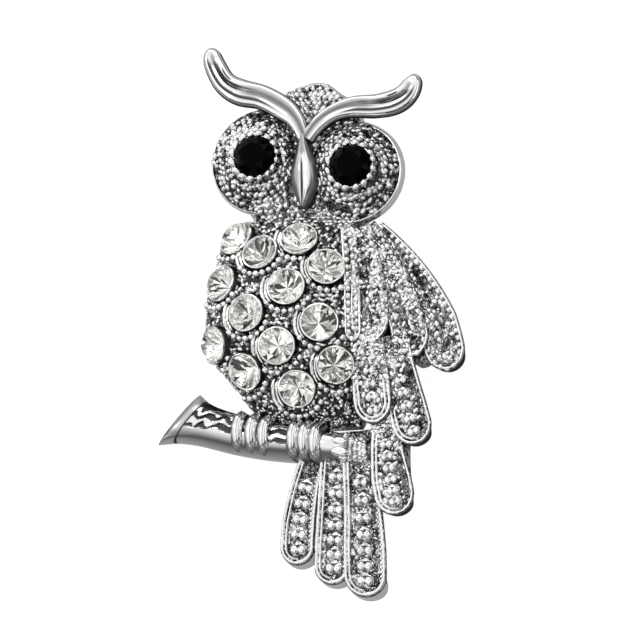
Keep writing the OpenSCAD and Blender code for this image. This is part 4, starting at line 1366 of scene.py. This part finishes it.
def cut_stone(diameter, middle, out, spin):
    """Round cut stone: rings of eight and sixteen points for the table, kite points and girdle above, and for
    the lower-half points and the back's point below, with the flat facets between them.

    Returns the crown's and the back's faces apart, for their two finishes."""
    def ring(radius, z, count, turn):
        """Ring of points at a height."""
        a = np.radians(turn) + np.arange(count) * 2 * np.pi / count + spin
        return np.stack([radius * np.cos(a), radius * np.sin(a), np.full(count, z)], axis=1)
    d = diameter
    half = GIRDLE / 2
    rings = [ring(TABLE_SHARE * d, CROWN_SHARE * d, 8, 0),
             ring(KITE_SHARE * d, CROWN_SHARE * d * KITE_HEIGHT, 8, 22.5),
             ring(d / 2, half, 16, 0),
             ring(d / 2, -half, 16, 0),
             ring(LOWER_SHARE * d, -half - LOWER_DEPTH * PAVILION_SHARE * d, 8, 22.5),
             ring(CULET_R, -half - PAVILION_SHARE * d, 8, 0)]
    starts = np.cumsum([0] + [len(r) for r in rings])
    j = np.arange(8)
    k = (j + 1) % 8
    table, kite, top, low, inner, point = starts[:6]
    crown = [j[None, :] + table,
             np.stack([table + j, kite + j, table + k], axis=1),
             np.stack([table + k, kite + j, top + (2 * j + 2) % 16, kite + k], axis=1),
             np.stack([kite + j, top + 2 * j, top + 2 * j + 1], axis=1),
             np.stack([kite + j, top + 2 * j + 1, top + (2 * j + 2) % 16], axis=1)]
    i = np.arange(16)
    n = (i + 1) % 16
    back = [np.stack([top + i, low + i, low + n, top + n], axis=1),
            np.stack([low + 2 * j, inner + j, low + 2 * j + 1], axis=1),
            np.stack([low + 2 * j + 1, inner + j, low + (2 * j + 2) % 16], axis=1),
            np.stack([low + (2 * j + 2) % 16, inner + j, point + k], axis=1),
            np.stack([low + (2 * j + 2) % 16, point + k, inner + k], axis=1),
            np.stack([inner + j, point + j, point + k], axis=1),
            point + j[None, ::-1]]
    shape = SimpleNamespace(points=stand(np.concatenate(rings), middle, out), faces=crown + back, shade=None)
    return shape, sum(len(f) for f in crown)


# Hollow back


# Names of the volumes that are taken out behind the belly and the head
HOLLOWS = ("belly_hollow", "head_hollow")


def hollow_cutters(s):
    """Volumes of the hollow back, less a wall's thickness all round, one behind the belly and one behind the
    head."""
    if HOLLOWS[0] in bpy.data.objects:
        return [bpy.data.objects[name] for name in HOLLOWS]
    belly = belly_rings(s, 60, 60, s.wall, s.rim - 1, s.rim + s.edge_h - 0.4, s.rim + s.belly_relief - s.wall)
    rows = head_rows(s, HEAD, s.head_w, s.rim - 1)
    rows[:, 2] = np.maximum(0.2, rows[:, 2] - s.wall)
    rows[:, 4] -= s.wall
    head, _ = strip(rows, 60, domed)
    found = []
    for name, rings in zip(HOLLOWS, (belly, head)):
        cutter = bpy.data.objects.new(name, make_mesh(name, skin(rings, np.full(rings.shape[:2], 0.5)), 40))
        bpy.context.scene.collection.objects.link(cutter)
        found.append(cutter)
    return found


def remove_cutters():
    """Takes the hollow's volumes out of the scene, once every piece is cut."""
    for name in HOLLOWS:
        if name in bpy.data.objects:
            bpy.data.objects.remove(bpy.data.objects[name])


# Materials


def new_material(name):
    """New material with its node tree and its shader."""
    material = bpy.data.materials.new(name)
    material.use_nodes = True
    return material, material.node_tree, material.node_tree.nodes["Principled BSDF"]


def feed(tree, node, inputs):
    """Gives each named input of a node its value, or a link where the value is another node's output."""
    for name, value in inputs.items():
        if isinstance(value, bpy.types.NodeSocket):
            tree.links.new(value, node.inputs[name])
        else:
            node.inputs[name].default_value = value


def add_node(tree, kind, inputs=None, **settings):
    """New shader node with its settings and inputs."""
    node = tree.nodes.new("ShaderNode" + kind)
    for name, value in settings.items():
        setattr(node, name, value)
    feed(tree, node, inputs or {})
    return node


def maths(tree, operation, *inputs):
    """Output of a maths node."""
    return add_node(tree, "Math", dict(enumerate(inputs)), operation=operation).outputs[0]


def mapped(tree, value, first, last, low=0.0, high=1.0, kind="LINEAR"):
    """Value mapped from between low and high to between first and last."""
    inputs = {"Value": value, "From Min": low, "From Max": high, "To Min": first, "To Max": last}
    return add_node(tree, "MapRange", inputs, interpolation_type=kind).outputs["Result"]


def mixed(tree, factor, first, second):
    """Mix of two colours."""
    inputs = {"Factor": factor, "A": first, "B": second}
    return add_node(tree, "Mix", inputs, data_type="RGBA").outputs["Result"]


def noise(tree, scale, vector=None):
    """Noise node, in the object's own coordinates if it is given no vector."""
    if vector is None:
        vector = add_node(tree, "TexCoord").outputs["Object"]
    return add_node(tree, "TexNoise", {"Scale": scale, "Vector": vector})


def attribute(tree, name):
    """Value of a mesh's attribute."""
    return add_node(tree, "Attribute", attribute_name=name).outputs["Fac"]


def grey_ramp(tree, value, marks):
    """Grey by the value, linear between marks of a place and a brightness."""
    node = add_node(tree, "ValToRGB", {"Fac": value})
    for n, (place, grey) in enumerate(marks):
        element = node.color_ramp.elements[n] if n < 2 else node.color_ramp.elements.new(place)
        element.position = place
        element.color = (grey, grey, grey, 1)
    return node.outputs["Color"]


# Cast grain of the metal, in millimetres for the bend and in times of its scale for the noises: the bend, its
# noise, the noise of the patches that have lines, and the noise whose middle value is a winding line
GRAIN_BEND = 0.5
BEND_NOISE = 0.8
PATCH_NOISE = 0.35
SQUIGGLE_NOISE = 0.7
# Values between which a line fades by the distance from a cell's edge, its patches start, a winding line fades
# and a cell's height is whole, and how deep a line is
EDGE_FADE = (0.05, 0.15)
PATCH_START = (0.47, 0.54)
SQUIGGLE_FADE = (0.014, 0.034)
CELL_RISE = (0, 0.34)
LINE_DEPTH = 0.5


def grain_group():
    """Cast grain for the metal: Voronoi cells, bent by a noise, as a height, and the thin broken lines between
    them and along another noise's middle value as a mask, which the platings paint dark as shade in the grain's
    creases."""
    group = bpy.data.node_groups.new("cast_grain", "ShaderNodeTree")
    for name, side in (("Scale", "INPUT"), ("Height", "OUTPUT"), ("Lines", "OUTPUT")):
        group.interface.new_socket(name, in_out=side, socket_type="NodeSocketFloat")
    start, end = group.nodes.new("NodeGroupInput"), group.nodes.new("NodeGroupOutput")
    scale = start.outputs["Scale"]
    place = add_node(group, "TexCoord").outputs["Object"]
    sway = noise(group, maths(group, "MULTIPLY", scale, BEND_NOISE), place).outputs["Color"]
    inputs = {0: sway, 1: (GRAIN_BEND * MM,) * 3, 2: place}
    bent = add_node(group, "VectorMath", inputs, operation="MULTIPLY_ADD").outputs["Vector"]
    gap = add_node(group, "TexVoronoi", {"Vector": bent, "Scale": scale}, feature="DISTANCE_TO_EDGE")
    gap = gap.outputs["Distance"]
    patch = noise(group, maths(group, "MULTIPLY", scale, PATCH_NOISE), place).outputs["Fac"]
    squiggle = noise(group, maths(group, "MULTIPLY", scale, SQUIGGLE_NOISE), bent).outputs["Fac"]
    squiggle = maths(group, "ABSOLUTE", maths(group, "SUBTRACT", squiggle, 0.5))
    edges = maths(group, "MULTIPLY", mapped(group, gap, 1, 0, *EDGE_FADE, "SMOOTHSTEP"),
                  mapped(group, patch, 0, 1, *PATCH_START, "SMOOTHSTEP"))
    lines = maths(group, "MAXIMUM", edges, mapped(group, squiggle, 1, 0, *SQUIGGLE_FADE, "SMOOTHSTEP"))
    height = maths(group, "SUBTRACT", mapped(group, gap, 0, 1, *CELL_RISE, "SMOOTHSTEP"),
                   maths(group, "MULTIPLY", lines, LINE_DEPTH))
    feed(group, end, {"Lines": lines, "Height": height})
    return group


# Value of the colour's mix towards the dark colour where the painted shade is darkest, and the roughness of the
# painted shade
DARKEST_SHADE = 0.96
SHADE_ROUGH = 0.45


# Platings: the grain's scale, its depth in millimetres, the roughness, the share of the grain that is left
# where the attribute of painted shade is none, and how dark the painted shade along the grain's own lines is
PLATINGS = {"plated_grain": (1900, 0.06, 0.1, 0.0, 1.0),
            "plated_smooth": (500, 0.004, 0.08, 1.0, 0.0),
            "plated_beads": (1500, 0.014, 0.07, 1.0, 0.25),
            "pin_wire": (2500, 0.008, 0.24, 1.0, 0.0)}


def plated(name, finish, group, scale, depth, rough, smooth_share, dark):
    """Bright plating with painted shade: the attribute of painted shade and the grain's lines mix the colour
    and the specular tint towards the dark shade colour and raise the roughness, and the grain group gives fine
    bumps."""
    material, tree, shader = new_material(name)
    grain = add_node(tree, "Group", {"Scale": scale}, node_tree=group)
    recess = attribute(tree, "recess")
    marks = ((0, smooth_share), (WALL_MARK - 0.02, smooth_share), (GRAIN_MARK * 0.8, 1), (WALL_MARK - 0.1, 1))
    marked = grey_ramp(tree, recess, marks)
    lines = maths(tree, "MULTIPLY", mapped(tree, grain.outputs["Lines"], 0, dark), marked)
    shade_mix = maths(tree, "MAXIMUM", mapped(tree, recess, 0, DARKEST_SHADE, low=GRAIN_MARK), lines)
    inputs = {"Distance": depth * MM, "Strength": marked, "Height": grain.outputs["Height"]}
    bump = add_node(tree, "Bump", inputs)
    # Painted shade: colour and specular tint go to the dark shade colour where the attribute and the grain's
    # lines paint it
    feed(tree, shader, {
        "Base Color": mixed(tree, shade_mix, (*finish.metal, 1), (*finish.recess, 1)),
        "Specular Tint": mixed(tree, shade_mix, (1, 1, 1, 1), (*finish.recess, 1)),
        "Roughness": mapped(tree, shade_mix, rough, SHADE_ROUGH),
        "Normal": bump.outputs["Normal"],
        "Metallic": 1})
    return material


def clear_glass(finish):
    """Clear glass whose polish changes a little from place to place."""
    material, tree, shader = new_material("clear_crown")
    feed(tree, shader, {
        "Base Color": (*finish.glass, 1),
        "Roughness": mapped(tree, noise(tree, 600).outputs["Fac"], 0.004, 0.02),
        "IOR": 1.56,
        "Transmission Weight": 1})
    return material


# Painted reflection on the foil: its lightest and darkest colour, then a painted glow of its light facets that
# stands in for the light it sends back from the tent's sides, and how much the painted reflection varies within
# a facet
FOIL_LIGHT = (1.0, 1.0, 0.98)
FOIL_DARK = (0.03, 0.034, 0.03)
FOIL_GLOW = 0.22
FOIL_VARIES = 0.12


def foil():
    """Foiled back of a clear stone: a soft mirror with painted reflection, lighter or darker from facet to
    facet and a little within one, which glows with painted light."""
    material, tree, shader = new_material("foil_back")
    tone = maths(tree, "MULTIPLY_ADD", noise(tree, 900).outputs["Fac"], FOIL_VARIES, attribute(tree, "tone"))
    colour = mixed(tree, tone, (*FOIL_LIGHT, 1), (*FOIL_DARK, 1))
    feed(tree, shader, {"Base Color": colour, "Emission Color": colour, "Emission Strength": FOIL_GLOW,
                        "Metallic": 1, "Roughness": 0.07})
    return material


def black_glass(finish):
    """Black glass whose polish changes a little, and of which some facets mirror more than others."""
    material, tree, shader = new_material("jet_glass")
    feed(tree, shader, {
        "Base Color": (*finish.jet, 1),
        "Roughness": mapped(tree, noise(tree, 700).outputs["Fac"], 0.02, 0.07),
        "IOR": 1.5,
        "Specular IOR Level": mapped(tree, attribute(tree, "tone"), 0.02, 0.13, low=0.7)})
    return material


def materials():
    """The brooch's materials, made once."""
    if "plated_grain" not in bpy.data.materials:
        finish = bpy.context.scene.owl_finish
        group = grain_group()
        for name, values in PLATINGS.items():
            plated(name, finish, group, *values)
        clear_glass(finish)
        foil()
        black_glass(finish)
    return bpy.data.materials


# Operators


class OWL_OT_belly(bpy.types.Operator):
    """Belly dome with its grain, the stones' cups and the beads below them."""

    bl_idname = "owl.belly"
    bl_label = "Belly"

    def execute(self, context):
        s, looks = sizes(), materials()
        cut_away(add_piece("belly", belly_shape(s), looks["plated_grain"]), hollow_cutters(s))
        middles, outs = stone_frames(s)
        cups = [cup(s, s.belly_stone_d, m, o) for m, o in zip(middles, outs)]
        add_piece("belly_cups", joined(cups), looks["plated_smooth"])
        arcs = [scale_beads(s, m, o, n) for n, (m, o) in enumerate(zip(middles, outs))]
        gap = s.belly_stone_d / 2 + s.cup_wall + 0.2
        places, radii, ups = (np.concatenate([a[k] for a in arcs]) for k in range(3))
        keep = clear_of(places, middles, gap) & (belly_inside(s, places) > EDGE_CLEAR)
        keep &= places[:, 2] > s.rim + 0.8
        places, radii, ups = places[keep], radii[keep], ups[keep]
        lips = [lip for a in arcs for lip in a[3]]
        add_piece("belly_scale_beads", joined([beads(places, radii, ups)] + lips), looks["plated_beads"])
        taken = np.concatenate([places] + [lip.points[::16] for lip in lips])
        add_piece("belly_grain", belly_grain(s, middles, taken), looks["plated_beads"])
        return {"FINISHED"}


# Lumps between the beak and the horns: shares of the head's half sizes, height above the back rim, radius
BROW_KNOTS = np.array([[0.12, 0.34, 4.7, 0.6], [0.15, 0.24, 4.3, 0.5], [0.19, 0.34, 4.5, 0.45],
    [0.02, 0.26, 4.3, 0.5]])


class OWL_OT_head(bpy.types.Operator):
    """Head core, face discs, rings of beads, eye cups, brow horns and beak."""

    bl_idname = "owl.head"
    bl_label = "Head"

    def execute(self, context):
        s, looks = sizes(), materials()
        count = context.scene.owl_finish.eye_beads
        cutters = hollow_cutters(s)
        core, lumps = head_core(s)
        cut_away(add_piece("head_core", core, looks["plated_grain"]), cutters)
        add_piece("head_lumps", lumps, looks["plated_beads"])
        middles, outs = eye_frames(s)
        for side, word in enumerate(("left", "right")):
            cut_away(add_piece("face_" + word, face_disc(s, side), looks["plated_grain"]), cutters)
            add_piece("face_beads_" + word, joined(face_beads(s, side, count)), looks["plated_beads"])
            rim = cup(s, s.eye_stone_d, middles[side], outs[side], EYE_CUP_DROP)
            add_piece("eye_cup_" + word, rim, looks["plated_smooth"])
        add_piece("horn_left", horn(s, HORN_LEFT, 1), looks["plated_smooth"])
        add_piece("horn_right", horn(s, HORN_RIGHT, -1), looks["plated_smooth"])
        add_piece("beak", beak(s), looks["plated_smooth"])
        places = np.column_stack([s.head + s.head_half * BROW_KNOTS[:, :2], s.rim + BROW_KNOTS[:, 2]])
        add_piece("brow_knots", beads(places, BROW_KNOTS[:, 3], flat=0.9), looks["plated_beads"])
        return {"FINISHED"}


# Bead pairs on the nested feathers: shares of the length at the first and last pair, and their count
WING_PAIRS = {4: (0.4, 0.88, 5), 5: (0.46, 0.87, 4), 6: (0.3, 0.87, 6)}
TAIL_PAIRS = [(0.38, 0.87, 5), (0.262, 0.87, 7), (0.285, 0.885, 7)]
TAIL_SHIFTS = [-0.15, -0.3, -0.05]
# Least angle in degrees between two faces of a feather that makes a sharp edge
FEATHER_SHARP = 80
# Nested feathers of the wing with one rim on their right, and feathers over the hollow
SLIM_RIGHTS = (4, 6)
OVER_HOLLOW = (2, 3)
# Where the rims of the wing's feathers grow, left then right, as shares of their length
WING_FADES = [[(0.7, 0.85), (0.0, 0.05)], [(0.45, 0.7), (0.8, 0.95)], [(0.1, 0.3), (0.75, 0.92)],
              [(0.0, 0.1), (0.5, 0.9)], [(0.55, 0.75), (0.2, 0.3)], [(0.5, 0.62), (0.55, 0.68)],
              [(0.15, 0.3), (0.3, 0.45)]]


class OWL_OT_wing(bpy.types.Operator):
    """Wing feathers with their rims, grain and beads, on the plate that carries them."""

    bl_idname = "owl.wing"
    bl_label = "Wing"

    def execute(self, context):
        s, looks = sizes(), materials()
        cutters = hollow_cutters(s)
        rows = np.column_stack([s.shoulder + s.wing_size * WING_PLATE[:, :2],
                                WING_PLATE[:, 2] * s.wing_w,
                                np.full(len(WING_PLATE), s.rim + 0.025),
                                s.rim + WING_PLATE[:, 3] * s.wing_relief])
        rings, _ = strip(rows, 90, domed)
        # Painted shade, a middling grey, all over the plate between the feathers
        plate = skin(rings, np.full(rings.shape[:2], 0.6))
        cut_away(add_piece("wing_plate", plate, looks["plated_grain"]), cutters)
        for n, row in enumerate(WING):
            f = feather_line(s, row, True)
            fade = WING_FADES[n]
            left = NESTED if n in WING_PAIRS else WIDE
            right = WIDE if n in SLIM_RIGHTS else left
            shape = feather(s, f, 40 + 3 * n, (left, right, fade), INNER_ROOT_SHADE if n else WALL_SHADE)
            piece = add_piece(f"wing_feather_{n + 1}", shape, looks["plated_grain"], sharp=FEATHER_SHARP)
            if n in OVER_HOLLOW:
                cut_away(piece, cutters)
            if n in WING_PAIRS:
                taken, found = paired_beads(f, *WING_PAIRS[n], s.bead_r * 0.98)
                found.append(bed_beads(f, 1.0, 0.22, taken, drop=-0.3, seed=50 + n, fade=fade))
            else:
                taken, row = edge_beads(f, gap=0.56, pitch=0.82, radius=0.3, drop=-0.22, seed=n)
                found = [row, bed_beads(f, 0.9, 0.2, taken, drop=-0.22, seed=50 + n, fade=fade)]
            add_piece(f"wing_beads_{n + 1}", joined(found), looks["plated_beads"])
        return {"FINISHED"}


class OWL_OT_tail(bpy.types.Operator):
    """Tail feathers with their rims, paired beads and crescents."""

    bl_idname = "owl.tail"
    bl_label = "Tail"

    def execute(self, context):
        s, looks = sizes(), materials()
        for n, row in enumerate(TAIL):
            f = feather_line(s, row, False)
            shape = feather(s, f, 70 + 3 * n, (NESTED, BROAD, None))
            add_piece(f"tail_feather_{n + 1}", shape, looks["plated_grain"], sharp=FEATHER_SHARP)
            _, found = paired_beads(f, *TAIL_PAIRS[n], s.bead_r * 1.24, TAIL_SHIFTS[n])
            _, row = edge_beads(f, gap=0.52, pitch=0.5, radius=0.17, drop=-0.08, seed=n,
                                from_share=0.25, both=False)
            found.append(row)
            add_piece(f"tail_beads_{n + 1}", joined(found), looks["plated_beads"])
        return {"FINISHED"}


class OWL_OT_branch(bpy.types.Operator):
    """Branch with its bark and cut end, and the claws that hold it."""

    bl_idname = "owl.branch"
    bl_label = "Branch and claws"

    def execute(self, context):
        s, looks = sizes(), materials()
        branch, knots = branch_shape(s)
        add_piece("branch", branch, looks["plated_smooth"])
        add_piece("branch_knots", knots, looks["plated_beads"])
        add_piece("branch_plates", branch_plates(s), looks["plated_smooth"])
        add_piece("claws", joined([toe_shape(s, place) for place in TOES]), looks["plated_smooth"])
        return {"FINISHED"}


class OWL_OT_stones(bpy.types.Operator):
    """Cut stones: clear ones with foiled backs on the belly, black ones in the eyes."""

    bl_idname = "owl.stones"
    bl_label = "Stones"

    def execute(self, context):
        s, looks = sizes(), materials()
        middles, outs = stone_frames(s)
        for n, (middle, out) in enumerate(zip(middles, outs)):
            shape, crown = cut_stone(s.belly_stone_d, middle, out, 0.37 * n)
            piece = add_piece(f"clear_stone_{n + 1:02d}", shape, [looks["clear_crown"], looks["foil_back"]],
                              f"belly_stone_{n + 1:02d}", None)
            facets = np.arange(len(piece.data.polygons))
            piece.data.polygons.foreach_set("material_index", (facets >= crown).astype(np.int32))
            set_facet_reflections(piece, np.interp(luck_for(len(facets), n, 0, 9)[:, 0], FACET_LUCK, FACET_REFLECTION))
        middles, outs = eye_frames(s)
        for side, word in enumerate(("left", "right")):
            shape, _ = cut_stone(s.eye_stone_d, middles[side], outs[side], 0.2 + side)
            piece = add_piece("black_stone_" + word, shape, looks["jet_glass"],
                              "eye_stone_" + word, None)
            set_facet_reflections(piece, luck_for(len(piece.data.polygons), side, 0, 12)[:, 0])
        return {"FINISHED"}


# Side and height of a solid block in the hollow, under an end of the pin
BLOCK = 3.2
BLOCK_H = 1.8


class OWL_OT_back(bpy.types.Operator):
    """Back: the solid blocks in the hollow, and the finish of the pin."""

    bl_idname = "owl.back"
    bl_label = "Back and pin"

    def execute(self, context):
        s, looks = sizes(), materials()
        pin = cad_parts["pin_back"]
        pin.data.materials.clear()
        pin.data.materials.append(looks["pin_wire"])
        low, high = (np.array(corner) / MM - plan_shift(s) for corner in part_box("pin_back"))
        blocks = []
        for x in (low[0] + BLOCK / 2, high[0] - BLOCK / 2):
            middle = np.array([x, (low[1] + high[1]) / 2])
            turn = np.radians(np.array([45, 135, 225, 315]))
            square = middle + BLOCK / np.sqrt(2) * plan_ways(turn)[:, :2]
            rings = np.stack([np.column_stack([square, np.full(4, z)])
                              for z in (s.rim + 0.04, s.rim + BLOCK_H)])
            blocks.append(skin(rings, np.zeros((2, 4))))
        add_piece("pin_blocks", joined(blocks), looks["plated_smooth"])
        return {"FINISHED"}


# Studio


# Floor: half its side in metres, its grey from and to, and its own light as other things and as the camera see
# it
FLOOR_HALF = 2.0
PAPER = (0.11, 0.12)
FLOOR_GLOW = (0.3, 0.95)
# Camera: the sensor's width, and the place that it looks at, in millimetres
SENSOR = 36.0
AIM = (0.45, 0.72)
# Brightness of the studio's walls by how far a direction points to the sky's top, what the camera sees of them,
# and their strength
SKY = [(0.0, 0.3), (1.0, 0.9), (0.05, 0.04), (0.18, 0.02), (0.26, 0.2), (0.36, 0.75), (0.5, 1.0), (0.8, 1.0)]
SKY_TOP = (-0.236, 0.225, 0.945)
SKY_SEEN = (0.9, 0.9, 0.9, 1)
SKY_STRENGTH = 1.1
# Lights: name, place in metres, width and height in metres, brightness
LIGHTS = [("top_box", (0.0, 0.62, 0.3), (0.7, 0.2), 2.0),
          ("left_box", (-0.66, 0.1, 0.25), (0.2, 0.6), 1.6),
          ("right_box", (0.68, 0.1, 0.22), (0.15, 0.6), 1.6),
          ("low_strip", (0.0, -0.7, 0.25), (0.6, 0.1), 1.4),
          ("key", (-0.3, 0.2, 0.75), (0.16, 0.16), 5.0)]


def stood(thing, right, up, out, place):
    """Puts a camera or a light into the scene at a place in metres, with its three axes, and returns it."""
    matrix = np.eye(4)
    matrix[:3] = np.column_stack([right, up, out, place])
    thing.matrix_world = Matrix(matrix.tolist())
    bpy.context.scene.collection.objects.link(thing)
    return thing


def add_floor():
    """Pale paper floor, which glows so that the camera sees it nearly white."""
    floor = bpy.data.objects.new("floor", bpy.data.meshes.new("floor"))
    half = FLOOR_HALF
    floor.data.from_pydata([(-half, -half, 0), (half, -half, 0), (half, half, 0), (-half, half, 0)], [],
                           [(0, 1, 2, 3)])
    bpy.context.scene.collection.objects.link(floor)
    paper, tree, shader = new_material("paper")
    seen = add_node(tree, "LightPath").outputs["Is Camera Ray"]
    feed(tree, shader, {
        "Base Color": mixed(tree, noise(tree, 40).outputs["Fac"], *((grey, grey, grey, 1) for grey in PAPER)),
        "Roughness": 0.7,
        "Emission Color": (1, 1, 1, 1),
        "Emission Strength": mapped(tree, seen, *FLOOR_GLOW)})
    floor.data.materials.append(paper)


def add_camera(s, studio):
    """Camera at the photograph's angle: turned about the owl's own axis, then leant towards its tail."""
    a, b = studio.turn, studio.drop
    right = np.array([np.cos(a), 0, -np.sin(a)])
    up = np.array([np.sin(a) * np.sin(b), np.cos(b), np.cos(a) * np.sin(b)])
    out = np.cross(right, up)
    target = right * AIM[0] + up * AIM[1] + plan_shift(s)
    distance = studio.view_width * studio.lens / SENSOR
    camera = bpy.data.objects.new("camera", bpy.data.cameras.new("camera"))
    camera.data.lens = studio.lens
    camera.data.sensor_width = SENSOR
    camera.data.clip_start = 0.01
    bpy.context.scene.camera = stood(camera, right, up, out, target * MM + out * distance)


def add_lights():
    """Soft lights round the brooch, all turned to it."""
    for name, place, size, bright in LIGHTS:
        lamp = bpy.data.lights.new(name, "AREA")
        lamp.shape = "RECTANGLE"
        lamp.size, lamp.size_y = size
        lamp.energy = bright * np.pi * size[0] * size[1]
        back = unit(np.array(place, float))
        side = unit(np.cross([0, 1, 0.001], back))
        stood(bpy.data.objects.new(name, lamp), side, np.cross(back, side), back, place)


def add_world():
    """The studio's walls as a world: bright above, dark in a band near the horizon, for the metal's mirror."""
    world = bpy.data.worlds.new("studio")
    world.use_nodes = True
    tree = world.node_tree
    ways = add_node(tree, "TexCoord").outputs["Generated"]
    height = add_node(tree, "VectorMath", {0: ways, 1: SKY_TOP}, operation="DOT_PRODUCT").outputs["Value"]
    seen = add_node(tree, "LightPath").outputs["Is Camera Ray"]
    feed(tree, tree.nodes["Background"], {
        "Color": mixed(tree, seen, grey_ramp(tree, height, SKY), SKY_SEEN),
        "Strength": SKY_STRENGTH})
    bpy.context.scene.world = world


class OWL_OT_studio(bpy.types.Operator):
    """Pale floor, soft lights and the camera at the photograph's angle."""

    bl_idname = "owl.studio"
    bl_label = "Studio"

    def execute(self, context):
        add_floor()
        add_camera(sizes(), context.scene.owl_studio)
        add_lights()
        add_world()
        context.scene.view_settings.view_transform = "Standard"
        return {"FINISHED"}


class OWL_PT_panel(bpy.types.Panel):
    """Lists the brooch's operators and sizes."""

    bl_label = "Owl brooch"
    bl_idname = "OWL_PT_panel"
    bl_space_type = "VIEW_3D"
    bl_region_type = "UI"
    bl_category = "Owl brooch"

    def draw(self, context):
        """A button for each operator, and a box for each group of sizes."""
        for operator in OPERATORS:
            self.layout.operator(operator.bl_idname)
        for group, owner in ((OwlSizes, context.scene.owl_sizes), (OwlFinish, context.scene.owl_finish),
                             (OwlStudio, context.scene.owl_studio)):
            box = self.layout.box()
            for name in group.__annotations__:
                box.prop(owner, name)


OPERATORS = (OWL_OT_belly, OWL_OT_head, OWL_OT_wing, OWL_OT_tail, OWL_OT_branch, OWL_OT_stones, OWL_OT_back,
             OWL_OT_studio)
CLASSES = (OwlSizes, OwlFinish, OwlStudio) + OPERATORS + (OWL_PT_panel,)


def register():
    """Registers the classes and the groups of sizes."""
    for c in CLASSES:
        bpy.utils.register_class(c)
    bpy.types.Scene.owl_sizes = bpy.props.PointerProperty(type=OwlSizes)
    bpy.types.Scene.owl_finish = bpy.props.PointerProperty(type=OwlFinish)
    bpy.types.Scene.owl_studio = bpy.props.PointerProperty(type=OwlStudio)


def unregister():
    """Takes the groups and the classes out again."""
    del bpy.types.Scene.owl_studio, bpy.types.Scene.owl_finish, bpy.types.Scene.owl_sizes
    for c in reversed(CLASSES):
        bpy.utils.unregister_class(c)


def main():
    """Builds every piece and the studio."""
    register()
    bpy.ops.owl.belly()
    bpy.ops.owl.head()
    bpy.ops.owl.wing()
    bpy.ops.owl.tail()
    bpy.ops.owl.branch()
    bpy.ops.owl.stones()
    bpy.ops.owl.back()
    bpy.ops.owl.studio()
    remove_cutters()


if __name__ == "__main__":
    main()
